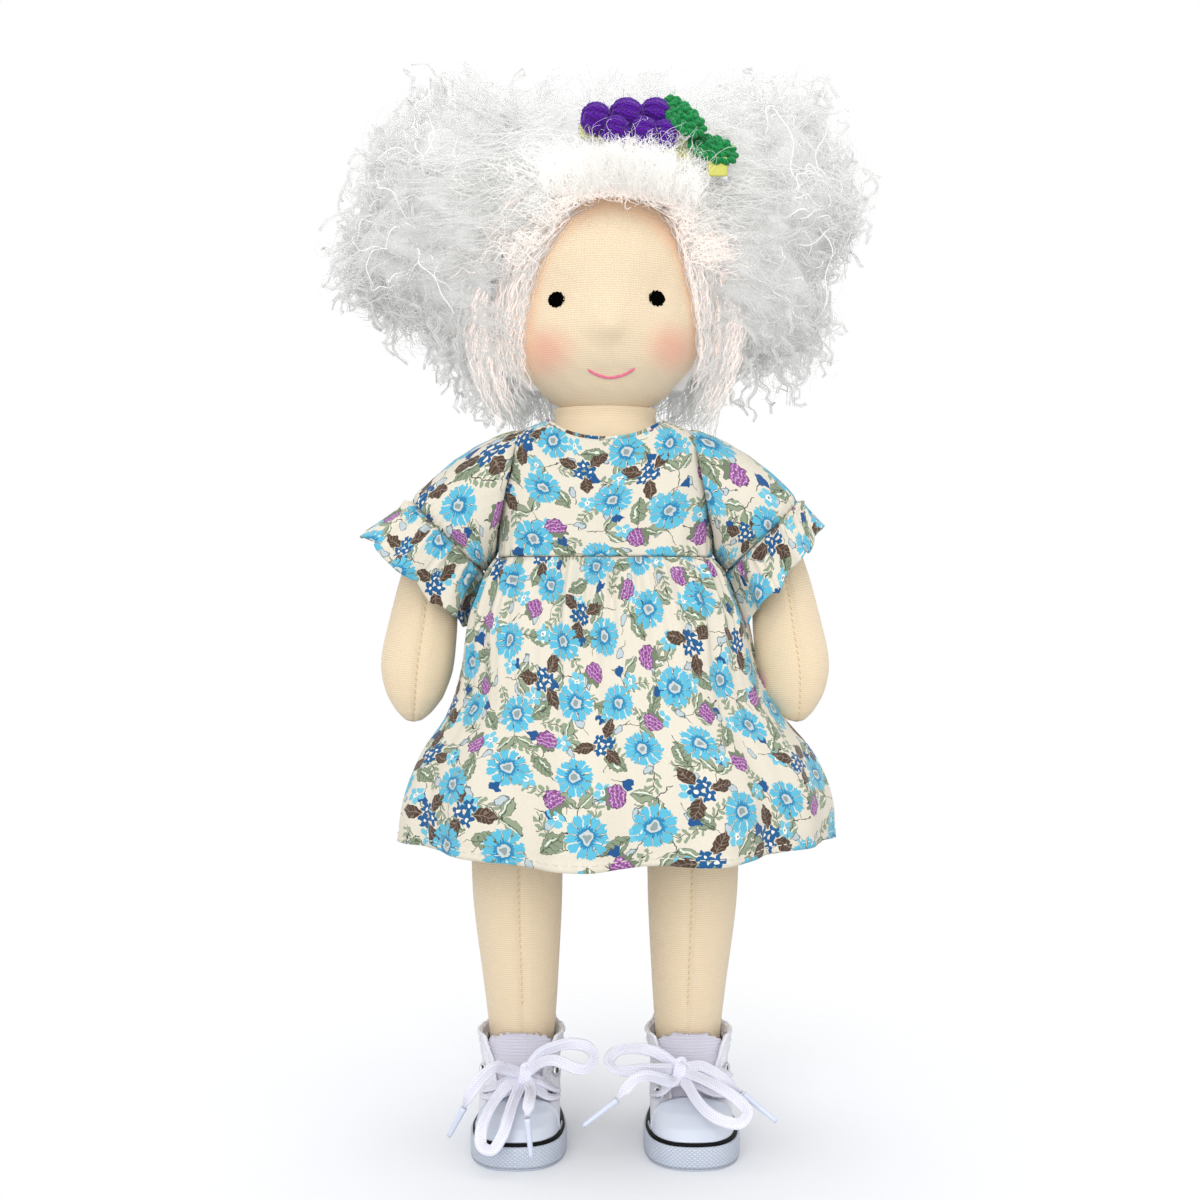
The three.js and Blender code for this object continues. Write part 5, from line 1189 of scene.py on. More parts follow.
# What each layer draws: masks are 1 inside a shape. Leaves are |v| < w (1 - (u / l)^2) along their own axis
shapes = {
    "stem": ("""
        bend MULTIPLY xx 0.05
        off SUBTRACT y bend
        near ABSOLUTE off
        thin LESS_THAN near 0.13
        long LESS_THAN r 6.2
        stem MULTIPLY thin long
        q DIVIDE x 1.9
        part FRACT q
        x1 SUBTRACT part 0.5
        x2 MULTIPLY x1 1.9
        y2 SUBTRACT near 1.0
        u0 ADD x2 y2
        v0 SUBTRACT x2 y2
        u MULTIPLY u0 0.62
        v MULTIPLY v0 1.42
        uu MULTIPLY u u
        sum MULTIPLY_ADD v v uu
        leafIn LESS_THAN sum 1
        end LESS_THAN r 5.4
        leaves MULTIPLY leafIn end
    """, [("leaves", "#8d9c83"), ("stem", "#4a4f45")]),
    "pale": ("""
        ex DIVIDE x 1.9
        ey DIVIDE y 1.05
        exx MULTIPLY ex ex
        sum MULTIPLY_ADD ey ey exx
        whole LESS_THAN sum 1
        inner LESS_THAN sum 0.62
        stalk LESS_THAN side 0.11
        behind GREATER_THAN x -4.6
        front LESS_THAN x 0
        s1 MULTIPLY stalk behind
        line MULTIPLY s1 front
    """, [("line", "#6d6f66"), ("whole", "#6f7f84"), ("inner", "#b9c6cb")]),
    "sage": ("""
        q DIVIDE x 4.1
        qq MULTIPLY q q
        left1 SUBTRACT 1 qq
        lobe0 PINGPONG x 0.55
        wide0 MULTIPLY left1 2.0
        wide MULTIPLY_ADD lobe0 0.45 wide0
        rim ADD wide 0.16
        outline LESS_THAN side rim
        body LESS_THAN side wide
        rib LESS_THAN side 0.11
        veins PINGPONG x 0.62
        slant MULTIPLY_ADD side 0.7 x
        comb PINGPONG slant 0.75
        vein0 LESS_THAN comb 0.1
        some GREATER_THAN wide 0.8
        vein1 MULTIPLY vein0 some
        inner SUBTRACT wide 0.35
        in2 LESS_THAN side inner
        vein2 MULTIPLY vein1 in2
        vein MAXIMUM rib vein2
        veinIn MULTIPLY vein body
        gl SUBTRACT y 0.75
        gl2 ABSOLUTE gl
        gl3 LESS_THAN gl2 0.2
        ax ABSOLUTE x
        ax2 LESS_THAN ax 1.9
        gloss MULTIPLY gl3 ax2
        start GREATER_THAN x -6.2
        before LESS_THAN x -3.6
        st1 MULTIPLY start before
        stalk MULTIPLY st1 rib
    """, [("stalk", "#474b42"), ("outline", "#50574a"), ("body", "#86947a"), ("veinIn", "#4a5245"),
          ("gloss", "#dfe5da")]),
    "pair": ("""
        c MULTIPLY x 0.64
        u MULTIPLY_ADD side 0.77 c
        d MULTIPLY x -0.77
        v MULTIPLY_ADD side 0.64 d
        va ABSOLUTE v
        um SUBTRACT u 3.3
        q DIVIDE um 3.1
        qq MULTIPLY q q
        left1 SUBTRACT 1 qq
        wide MULTIPLY left1 1.6
        rim ADD wide 0.15
        outline LESS_THAN va rim
        body LESS_THAN va wide
        rib0 LESS_THAN va 0.1
        rib MULTIPLY rib0 body
        st LESS_THAN side 0.12
        st2 LESS_THAN x 0.4
        st3 GREATER_THAN x -5.2
        st4 MULTIPLY st st2
        stalk MULTIPLY st4 st3
        gl SUBTRACT v 0.55
        gl2 ABSOLUTE gl
        gl3 LESS_THAN gl2 0.17
        gloss MULTIPLY gl3 body
    """, [("stalk", "#474b42"), ("outline", "#50574a"), ("body", "#909c82"), ("gloss", "#e4e8de"),
          ("rib", "#4a5245")]),
    "brown": ("""
        third MULTIPLY t 0.4775
        part FRACT third
        mid SUBTRACT part 0.5
        ang DIVIDE mid 0.4775
        cs COSINE ang
        sn SINE ang
        u MULTIPLY r cs
        v MULTIPLY r sn
        va ABSOLUTE v
        um SUBTRACT u 5.4
        q DIVIDE um 3.3
        qq MULTIPLY q q
        left1 SUBTRACT 1 qq
        wide MULTIPLY left1 1.9
        body LESS_THAN va wide
        rib0 LESS_THAN va 0.12
        slant MULTIPLY_ADD va -0.8 u
        comb PINGPONG slant 0.6
        vein0 LESS_THAN comb 0.09
        vein1 MAXIMUM vein0 rib0
        vein MULTIPLY vein1 body
        third2 ADD third 0.5
        part2 FRACT third2
        mid2 SUBTRACT part2 0.5
        ang2 DIVIDE mid2 0.4775
        cs2 COSINE ang2
        sn2 SINE ang2
        fx0 MULTIPLY r cs2
        fx SUBTRACT fx0 1.9
        fy MULTIPLY r sn2
        fxx MULTIPLY fx fx
        ff MULTIPLY_ADD fy fy fxx
        fr SQRT ff
        ft ARCTAN2 fy fx
        five MULTIPLY ft 2.5
        wave COSINE five
        petal ABSOLUTE wave
        far MULTIPLY_ADD petal 1.1 1.0
        flower LESS_THAN fr far
        heart LESS_THAN fr 0.5
    """, [("body", "#4c3a2e"), ("vein", "#86766a"), ("flower", "#1d5a8c"), ("heart", "#f1ece0")]),
    "bud": ("""
        px SUBTRACT x 0.8
        py SUBTRACT side 0.72
        pxx MULTIPLY px px
        pp MULTIPLY_ADD py py pxx
        lobe LESS_THAN pp 0.72
        q MULTIPLY_ADD x 0.75 1.35
        cone0 LESS_THAN side q
        cone1 LESS_THAN x 0.7
        cone MULTIPLY cone0 cone1
        heartIn MAXIMUM lobe cone
        reach LESS_THAN r 2.4
        body MULTIPLY heartIn reach
        st LESS_THAN side 0.12
        st2 LESS_THAN x -1.2
        st3 GREATER_THAN x -4.4
        st4 MULTIPLY st st2
        stalk MULTIPLY st4 st3
    """, [("stalk", "#474b42"), ("body", "#1f5389")]),
    "small": ("""
        five MULTIPLY t 2.5
        wave COSINE five
        petal ABSOLUTE wave
        far MULTIPLY_ADD petal 1.25 1.5
        whole LESS_THAN r far
        slit MULTIPLY petal r
        open GREATER_THAN slit 0.3
        flower MULTIPLY whole open
        eyeIn LESS_THAN r 0.75
        dot LESS_THAN r 0.32
    """, [("flower", "#6fbfd6"), ("eyeIn", "#f3efe4"), ("dot", "#7b8a8e")]),
    "berry": ("""
        bumps MULTIPLY t 9
        bump0 SINE bumps
        far MULTIPLY_ADD bump0 0.14 2.85
        body LESS_THAN r far
        edge ADD far 0.22
        outline LESS_THAN r edge
        mx PINGPONG x 0.56
        half DIVIDE x 1.12
        odd FLOOR half
        shift0 MULTIPLY odd 0.56
        y1 ADD y shift0
        my PINGPONG y1 0.56
        mxx MULTIPLY mx mx
        dd MULTIPLY_ADD my my mxx
        dot LESS_THAN dd 0.05
        rim GREATER_THAN dd 0.27
        dots MULTIPLY dot body
        rims MULTIPLY rim body
        crown0 MULTIPLY t 8
        crown1 COSINE crown0
        crown2 MULTIPLY_ADD crown1 0.7 3.4
        crown3 LESS_THAN r crown2
        crown4 GREATER_THAN x 1.7
        crown MULTIPLY crown3 crown4
        st LESS_THAN side 0.14
        st2 GREATER_THAN x 3.0
        st3 LESS_THAN x 6.0
        st4 MULTIPLY st st2
        stalk MULTIPLY st4 st3
    """, [("stalk", "#4d5347"), ("outline", "#5d3a63"), ("body", "#a0629f"), ("rims", "#7d4582"),
          ("dots", "#d9c1dd"), ("crown", "#6f7f63")]),
    "daisy": ("""
        many MULTIPLY t 5.5
        wave COSINE many
        petal ABSOLUTE wave
        round POWER petal 0.45
        far0 MULTIPLY_ADD round 1.9 3.8
        tip GREATER_THAN petal 0.965
        far MULTIPLY_ADD tip -0.55 far0
        whole LESS_THAN r far
        slit MULTIPLY petal r
        open GREATER_THAN slit 1.05
        flower MULTIPLY whole open
        hair0 GREATER_THAN slit 0.55
        shut LESS_THAN slit 1.05
        dark0 MULTIPLY hair0 shut
        turn2 MULTIPLY t 3
        turn3 SINE turn2
        some GREATER_THAN turn3 -0.35
        dark1 MULTIPLY dark0 some
        outer GREATER_THAN r 2.6
        dark2 MULTIPLY dark1 outer
        short LESS_THAN r 5.2
        stroke MULTIPLY dark2 short
        ray0 MULTIPLY t 22
        ray1 COSINE ray0
        ray2 MULTIPLY_ADD ray1 0.35 2.5
        ring LESS_THAN r ray2
        pale LESS_THAN r 1.55
        seed LESS_THAN r 0.9
    """, [("flower", "#5bb6d2"), ("stroke", "#39434a"), ("ring", "#2e82ad"), ("pale", "#c3cccb"),
          ("seed", "#8d9a9b")]),
}


def printMaterial():
    made, tree, shader = newMaterial("ditsyPrintedCottonPoplin", 0.85, Sheen_Weight=0.2,
                                     Specular_IOR_Level=0.2)
    uv = add(tree, "UVMap", uv_map="cloth")
    moved = uv
    # A slow drift of the lattice, then a fine warp of 0.3 mm that makes the drawn lines uneven, as by hand
    for scale, detail, far in ((0.03, 0.0, 5.0), (0.55, 1.0, 1.5)):
        drift = add(tree, "TexNoise", {"Vector": uv, "Scale": scale, "Detail": detail}, noise_dimensions="2D")
        drift = add(tree, "VectorMath", (drift.outputs["Color"], (0.5, 0.5, 0.5)), operation="SUBTRACT")
        drift = add(tree, "VectorMath", {0: drift, "Scale": far}, operation="SCALE")
        moved = add(tree, "VectorMath", (moved, drift), operation="ADD")
    tone = linear(cloth["ground"])
    for name, layer in layers.items():
        known = scatter(tree, moved, **layer)
        lines, paints = shapes[name]
        formula(tree, known, lines)
        for mask, color in paints:
            tone = mixColors(tree, known[mask], tone, linear(color))
    # Printed colour is a little uneven, and the threads of 0.3 mm show as a fine grid
    fade = add(tree, "TexNoise", {"Vector": uv, "Scale": 1.6, "Detail": 4.0}, noise_dimensions="2D")
    weave = formula(tree, clothPlace(tree) | {"fade": fade.outputs["Fac"]}, """
        a MULTIPLY u 20.9
        b MULTIPLY v 20.9
        sa SINE a
        sb SINE b
        weave MULTIPLY sa sb
        shade0 MULTIPLY_ADD fade 0.14 0.92
        shade MULTIPLY_ADD weave 0.02 shade0
    """)
    paint(tree, shader, tone, weave["shade"])
    bumpInto(tree, shader, weave["weave"], 0.00002, 0.6)
    return made


cotton = printMaterial()
threadWhite = plainMaterial("creamSewingThread", 0.6, "#e6dfd0")


def bodiceGrid(columns, rows, grow, low=171.6):
    # The torso's own form let out by the dress's ease, each column cut off where it meets the neckline
    knots = [(34, 18, 152), (30.3, 18.5, 168), (29.6, 17.5, 190), (28.4, 15, 200 + 0.4 * grow),
             (26, 14, 206 + 0.8 * grow), (17, 13, 210.5 + 0.8 * grow), (15, 12, 211.3 + 0.8 * grow)]
    k = smooth(np.array(knots) + (grow, grow, 0), 600)
    x, y = squareOval(columns, 3.4)
    columnsOut = []
    for cx, cy in zip(x, y):
        line = np.stack([k[:, 0] * cx, k[:, 1] * cy, k[:, 2]], -1)
        drop = 9.8 if cy < 0 else 9.0
        inside = (line[:, 0] / 18.5) ** 2 + ((line[:, 2] - 216) / drop) ** 2 < 1
        last = int(np.argmax(inside)) if inside.any() else len(line)
        first = int(np.searchsorted(line[:, 2], low))
        part = line[first:last]
        long = distances(part)
        at = np.linspace(0, long[-1], rows)
        columnsOut.append(pointsAt(part, long, at))
    return np.stack(columnsOut, 1)


def wrinkles(grid, size, height, seed):
    # Soft creases: the sum of a few slanted sine waves with chosen lengths, laid on the surface outwards
    chance = np.random.default_rng(seed)
    out = np.zeros(grid.shape[:2])
    for _ in range(7):
        way = unit(chance.normal(size=3))
        wave = size * chance.uniform(0.6, 1.6)
        out += np.sin(grid @ way * 6.28 / wave + chance.uniform(0, 6.28)) / 7 ** 0.5
    return height * out


def makeBodice():
    columns, rows = 240, 46
    grid = bodiceGrid(columns, rows, 1.5)
    out = unit(grid * (1, 1.8, 0))
    gather = np.linspace(1, 0, rows)[:, None]
    a = np.arange(columns) / columns * 2 * np.pi
    pull = 0.22 * np.sin(a * 46 + 2 * np.sin(a * 3)) * gather ** 5
    grid = grid + out * (wrinkles(grid, 13, 0.28, 3) + pull)[..., None]
    bodice = skinOf("bodice_cloth", grid, cotton, shift=(3, 40))
    # The arms come through here: these faces are cut away
    mesh = bodice.data
    centers = np.zeros(len(mesh.polygons) * 3)
    mesh.polygons.foreach_get("center", centers)
    c = centers.reshape(-1, 3) / mm
    hole = (np.abs(c[:, 0]) > 26) & (c[:, 1] ** 2 + (c[:, 2] - 190) ** 2 < 10.9 ** 2)
    removeFaces(bodice, hole)
    thicken(bodice, cloth["thick"])
    place(bodice, "torso", "cotton", "bodice")
    return grid


def makePlacket(grid):
    # The back opening closes with a folded strip, which carries the snaps
    back = grid[:, int(np.argmax(grid[0, :, 1] - np.abs(grid[0, :, 0])))]
    z = np.linspace(172.2, back[-1, 2] - 0.3, 40)[:, None]
    own = np.interp(z, back[:, 2], back[:, 1])
    proud = (20.0 - 0.08 * (z - 179.2) - own).clip(0) * (1 - step(z, 198.5, 204))
    low, high = own - 0.4, own + 0.5 + proud
    x, y = squareOval(48, 6)
    strip = np.stack([5 * x + 0 * z, (high + low) / 2 + (high - low) / 2 * y, z + 0 * x], -1)
    place(skinOf("back_placket", strip, cotton, caps=(True, True), shift=(31, 7)), "torso", "cotton")


def makeNeckline(grid):
    # A narrow turned edge runs round the neckline
    top = grid[-1] + unit(grid[-1] * (1, 1, 0)) * 0.05
    edge = np.concatenate([top, top[:2]])
    binding = tubes("neckline_edge", edge[None] - (0, 0, 0.25), 0.5, 10, cotton, alongUv=True)
    place(binding, "torso", "cotton")


def removeFaces(piece, gone):
    # Rebuilds a mesh without the marked faces
    work = bmesh.new()
    work.from_mesh(piece.data)
    work.faces.ensure_lookup_table()
    bmesh.ops.delete(work, geom=[work.faces[i] for i in np.flatnonzero(gone)], context="FACES")
    work.to_mesh(piece.data)
    work.free()


skirtSize = {"waist": (31.9, 20.1, 171.4), "hem": (63.2, 46.0), "drop": 85.2, "rows": 70, "columns": 440,
             "knots": [(0, 0, 0), (.27, .27, .21), (.37, .45, .385), (.55, .64, .55), (.82, .8, .7),
                       (.97, .93, .86), (1, 1, 1)]}


def skirtGrid():
    s = skirtSize
    k = smooth(s["knots"], s["rows"])
    wide = s["waist"][0] + (s["hem"][0] - s["waist"][0]) * k[:, 0]
    deep = s["waist"][1] + (s["hem"][1] - s["waist"][1]) * k[:, 1]
    t = k[:, 2:]
    a = fullTurn(s["columns"])
    x, y = squareOval(s["columns"], 3.4 - 1.4 * np.clip(2 * t[:, 0], 0, 1))
    # Fine gathers at the waist die out downwards, and eleven main folds grow towards the hem
    chance = np.random.default_rng(12)
    fine = sum(w * np.sin(n * a + chance.uniform(0, 6.28)) for n, w in ((84, 0.5), (67, 0.5), (51, 0.45)))
    middle = sum(w * np.sin(n * a + chance.uniform(0, 6.28)) for n, w in ((34, 0.5), (27, 0.5), (41, 0.35)))
    main = np.cos(11 * a + 0.6 * np.sin(2 * a)) * (0.75 + 0.25 * np.sin(3 * a)) + 0.4 * np.cos(7 * a + 1.1)
    out = (fine[None] * np.exp(-t * 5.5) * step(t, -0.01, 0.03)
           + middle[None] * np.exp(-(t - 0.16) ** 2 / 0.035) + 0.9 * middle[None] * t * 0.35
           + main[None] * (0.35 + 2.4 * t ** 1.5))
    puff = 0.9 * bell(t, 0.05, 0.05)
    # The hem is turned up once; the line of stitches presses it in
    out = out - 0.3 * bell(t, 0.965, 0.006)
    z = s["waist"][2] - t * s["drop"] + np.zeros_like(x)
    grid = np.stack([x * wide[:, None], y * deep[:, None], z], -1)
    way = unit(np.stack([x / wide[:, None], y / deep[:, None], np.zeros_like(x)], -1))
    grid = grid + way * (out + puff)[..., None]
    grid[..., 0] += 2.2 * t + 1.8 * bell(t, 0.75, 0.3)
    # The hem dips and lifts a little with each fold, and hangs higher at the sides
    grid[..., 2] -= step(t, 0.3, 1.0) * (0.4 * np.sin(3 * a + 0.8) + 0.35 * main - 2.5 * np.cos(a) ** 2)[None]
    return grid


def makeSkirt():
    grid = skirtGrid()
    skirt = skinOf("skirt_cloth", grid, cotton, flip=True, uv=measured(grid, slice(30, 52)), shift=(11, 0))
    thicken(skirt, cloth["thick"])
    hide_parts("skirt")
    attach(skirt, "torso")
    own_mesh(skirt)
    # Hem stitches: short threads 2.6 mm apart along a line 2.6 mm above the edge
    row = grid[-3]
    count = 150
    t = np.linspace(0, 1, 6)
    at = (np.arange(count)[:, None] + 0.55 * t) * (len(row) / count)
    wrapped = np.concatenate([row, row[:1]])
    path = pointsAt(wrapped, np.arange(len(wrapped)), at)
    path = path + unit(path * (1, 1, 0)) * (0.1 + 0.14 * np.sin(np.pi * t))[None, :, None]
    stitches = tubes("hem_stitches", path, 0.13, 5, threadWhite)
    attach(stitches, "torso")
    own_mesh(stitches)


def ringRow(top, low, depth, a, power=2.0, wave=0.0):
    # A ring between an upper and a lower point (x, z), let out by a wave
    c, s = np.cos(a), np.sin(a)
    size = (np.abs(c) ** power + np.abs(s) ** power) ** (-1 / power)
    top, low = np.asarray(top, float), np.asarray(low, float)
    middle, up, half = (top + low) / 2, unit(top - low), np.linalg.norm(top - low) / 2
    across = c * size * (half + wave)
    return np.stack([middle[0] + up[0] * across, s * size * (depth + wave), middle[1] + up[1] * across], -1)


# Upper and lower end of the ruffle's seam, and of its edge on each side
ruffleSize = {"seam": ((58.0, 189.1), (36.2, 167.6)), "depth": (15.9, 19.5), "main": 7, "second": 12,
              "left": ((64.0, 180.0), (41.6, 152.6)), "right": ((72.0, 178.6), (41.8, 152.0))}


def between(start, end, t):
    return start + (end - start) * t


def waves(a, table):
    # The sum of sine waves round a ring: how many in a turn, height and phase of each
    return sum(height * np.sin(many * a + phase) for many, height, phase in table)


def makeSleeves():
    a = fullTurn(240)
    for side, sign in bothSides:
        chance = np.random.default_rng(5 if sign > 0 else 6)
        phases = chance.uniform(0, 6.28, 8)
        gathers = waves(a, ((38, 0.6, phases[0]), (29, 0.5, phases[1]), (47, 0.4, phases[2])))
        rows = []
        for t in np.linspace(0, 1, 46):
            puff = 2.3 * math.sin(math.pi * min(1, t * 1.02)) ** 0.8
            top = (between(25.0, 58.0, t),
                   between(210.3, 189.1, t) + 0.75 * puff + 1.6 * math.sin(math.pi * t))
            low = (between(32.6, 36.2, t), between(172.6, 167.6, t) - 0.3 * puff)
            depth = 15.0 + t + puff
            fine = 0.45 * gathers * (math.exp(-t * 9) * 0.7 + math.exp(-(1 - t) * 5))
            fine = fine * np.clip(np.cos(a) + 0.75, 0.15, 1)
            # Both seams draw the cloth in
            fine = fine - 0.7 * bell(t, 0, 0.05) - bell(t, 1, 0.035)
            rows.append(ringRow(top, low, depth, a, 2.0 + 0.5 * (1 - t), fine))
        grid = np.stack(rows)
        grid[..., 0] *= sign
        grid = grid + wrinkles(grid, 12, 0.35, 8 + sign)[..., None] * np.array([0.3 * sign, 1, 0.6])
        sleeve = skinOf(f"{side}_sleeve_cloth", grid, cotton, flip=sign > 0, shift=(40 + 30 * sign, 90))
        thicken(sleeve, cloth["thick"])
        place(sleeve, None, "cotton", f"{side}_sleeve")
        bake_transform(sleeve)

        # The ruffle: tightly gathered at the seam; towards its edge a few waves grow and lean over
        r = ruffleSize
        fineWaves = waves(a, ((31, 0.6, phases[3]), (43, 0.5, phases[4])))
        rows = []
        for t in np.linspace(0, 1, 28):
            lean = a + 0.4 / r["main"] * t * np.sin(2 * r["main"] * a + 2 * phases[5])
            folds = 2.0 * np.cos(r["main"] * lean + phases[5]) + 0.7 * np.cos(r["second"] * lean + phases[6])
            (x1, z1), (x2, z2) = r["seam"]
            (x3, z3), (x4, z4) = r[side]
            depth = between(*r["depth"], math.sin(t * math.pi / 2))
            wave = (folds * t ** 1.1 + fineWaves * math.exp(-t * 2.2) * min(1, t * 8 + 0.4)
                    - bell(t, 0, 0.06) + 0.6 * bell(t, 0.1, 0.06))
            top = (between(x1, x3, t), between(z1, z3, t))
            low = (between(x2, x4, t), between(z2, z4, t))
            row = ringRow(top, low, depth, lean, 2.0, wave)
            way = unit(np.array([z1 - z2, 0, -(x1 - x2)]))
            swing = t * (0.8 * np.cos(r["main"] * a + phases[7])
                         + 0.4 * np.cos(r["second"] * a + phases[6] + 1))
            rows.append(row + swing[:, None] * way)
        grid = np.stack(rows)
        grid[..., 0] *= sign
        ruffle = skinOf(f"{side}_ruffle_cloth", grid, cotton, flip=sign > 0,
                        uv=measured(grid, slice(-4, None)), shift=(20 - 33 * sign, 130))
        thicken(ruffle, cloth["thick"])
        place(ruffle, f"{side}_arm", "cotton", f"{side}_ruffle")


bodiceShape = makeBodice()
makePlacket(bodiceShape)
makeNeckline(bodiceShape)
makeSkirt()
makeSleeves()
print("dress made")


# Shoes: white canvas high-tops with rubber soles

shoeSize = {"width": 13.8, "toe": -33, "length": 50, "spread": 25, "columns": 240, "band": (2.0, 7.8),
            "half": [(0, 0), (.52, .03), (.85, .13), (1, .32), (.96, .52), (.84, .72), (.76, .88),
                     (.42, .985), (0, 1)],
            # height, front, back and width of the upper's outline
            "stations": [(2.3, -31, 15, 1), (7.8, -31, 15, 1), (10.2, -29, 15.1, 1), (12.9, -25, 15.2, 1),
                         (14.3, -21, 15.2, 1), (15.2, -17.1, 15.2, 1), (18.4, -14.5, 15, .99),
                         (25, -11.3, 14.8, .983), (29, -10.5, 15.8, .983), (33, -10.1, 15.8, .983)],
            # inset and height of each row of points
            "outsole": [(1.2, 0.0), (0.35, 0.03), (0.12, 0.25), (0.3, 0.5), (0.3, 2.0)],
            "foxing": [(0.28, 0.55), (0.06, 0.6), (0.0, 0.8), (-0.06, 3.5), (0.0, 6.2), (0.1, 6.5),
                       (0.35, 6.62), (0.9, 6.6), (0.9, 0.6)],
            "stripe": [(1.7, 6.4), (0.8, 6.45), (0.62, 6.6), (0.62, 7.2), (0.8, 7.35), (1.7, 7.4)],
            "throat": (5.6, 9.6), "vamp": 13.4, "collar": 30.2}


def soleLoop(inset):
    s = shoeSize
    half = [(w * s["width"], s["toe"] + l * s["length"], 0) for w, l in s["half"]]
    full = half + [(-x, y, z) for x, y, z in half[-2:0:-1]]
    n = len(full)
    line = smooth(full * 3, (3 * n - 1) * 20 + 1)[n * 20:2 * n * 20 + 1]
    long = distances(line)
    at = np.linspace(0, long[-1], s["columns"] + 1)[:-1]
    loop = pointsAt(line, long, at)
    way = unit(np.roll(loop, -1, 0) - np.roll(loop, 1, 0))
    return loop - np.stack([way[:, 1], -way[:, 0], way[:, 2] * 0], -1) * inset


def soleGrid(rows):
    # Rows are (inset, height) pairs of a band that follows the sole
    return np.stack([soleLoop(inset) + (0, 0, z) for inset, z in rows])


def upperAt(loop, z):
    # The upper's outline at height z: the sole's outline between its own front and back
    s = np.array(shoeSize["stations"])
    front, back, wide = [np.interp(z, s[:, 0], s[:, i]) for i in (1, 2, 3)]
    x, y = np.broadcast_arrays(loop[:, 0] * wide, front + (loop[:, 1] + 31) * (back - front) / 46)
    return np.stack([x, y, np.broadcast_to(z, x.shape)], -1)


def rubberMaterial(name, color, roughness):
    # Moulded vulcanised rubber: satin, with a faint unevenness of the mould
    made, tree, shader = newMaterial(name, roughness, color, Specular_IOR_Level=0.5, Coat_Weight=0.15,
                                     Coat_Roughness=0.3)
    spots = add(tree, "TexNoise", {"Vector": objectPlace(tree), "Scale": 300.0, "Detail": 3.0})
    bumpInto(tree, shader, spots.outputs["Fac"], 0.0001, 0.3)
    return made


def bumperMaterial():
    # Rubber foxing with rows of small raised diamonds, 1.3 by 1.1 mm, whose tops carry a painted highlight;
    # its lowest 0.75 mm is painted darker, a painted shadow by the floor
    made, tree, shader = newMaterial("diamondTexturedRubberFoxing", 0.4, "#c9d1df", Specular_IOR_Level=0.5)
    known = formula(tree, clothPlace(tree), """
        x PINGPONG u 0.65
        y PINGPONG v 0.55
        x1 DIVIDE x 0.65
        y1 DIVIDE y 0.55
        sum ADD x1 y1
        mid SUBTRACT sum 1
        near ABSOLUTE mid
        raised SMOOTH_MIN near 0.6 0.3
        top GREATER_THAN near 0.52
        shade MULTIPLY_ADD top 0.22 0.92
        foot LESS_THAN v 0.75
        dark MULTIPLY_ADD foot -0.35 1
        both MULTIPLY shade dark
    """)
    # Painted highlight on the diamond tops and painted shadow along the foot
    paint(tree, shader, linear("#c9d1df")[:3], known["both"])
    bumpInto(tree, shader, known["raised"], 0.0004, 0.8)
    return made


def canvasMaterial(name, color, cell):
    # Plain-weave cotton canvas: matt, with round threads over and under each other
    made, tree, shader = newMaterial(name, 0.9, color, Sheen_Weight=0.2, Specular_IOR_Level=0.2)
    known = formula(tree, clothPlace(tree) | {"cell": 3.1416 / cell}, """
        a MULTIPLY u cell
        b MULTIPLY v cell
        sa SINE a
        sb SINE b
        ca COSINE a
        cb COSINE b
        over MULTIPLY sa cb
        under MULTIPLY ca sb
        high ABSOLUTE over
        low ABSOLUTE under
        weave ADD high low
        shade MULTIPLY_ADD weave 0.08 0.9
    """)
    paint(tree, shader, linear(color)[:3], known["shade"])
    bumpInto(tree, shader, known["weave"], 0.00005, 0.8)
    return made


def shoeMaterials():
    return {
        "sole": rubberMaterial("whiteRubberOutsole", "#b9c2d0", 0.5),
        "cap": rubberMaterial("glossyToeRubber", "#d0d6e2", 0.28),
        "foxing": bumperMaterial(),
        "canvas": canvasMaterial("whiteCottonCanvas", "#e9e9f1", 0.5),
        "tongue": canvasMaterial("lavenderWhiteRibbedTongueCloth", "#d3d0dd", 0.42),
        "thread": plainMaterial("whitePolyesterThread", 0.5, "#f4f4f6"),
        "stripe": plainMaterial("blackRubberStripe", 0.6, "#060608", Specular_IOR_Level=0.15),
        "silver": plainMaterial("nickelPlatedBrassEyelet", 0.22, "#d9dade", Metallic=1.0),
        "dark": plainMaterial("shadeInsideTheEyelet", 0.9, "#3b3c44"),
    }


def makeSole(side, shift, looks):
    leg = f"{side}_leg"
    flat, band, line = [soleGrid(shoeSize[name]) + shift for name in ("outsole", "foxing", "stripe")]
    outsole = skinOf(f"{side}_outsole_rubber", flat, looks["sole"], caps=(True, True))
    place(outsole, leg, "sole_rubber", f"{side}_outsole")
    foxing = skinOf(f"{side}_foxing_rubber", band, looks["foxing"])
    place(foxing, leg, "sole_rubber", f"{side}_foxing")
    place(skinOf(f"{side}_stripe", line, looks["stripe"]), leg, "sole_rubber")


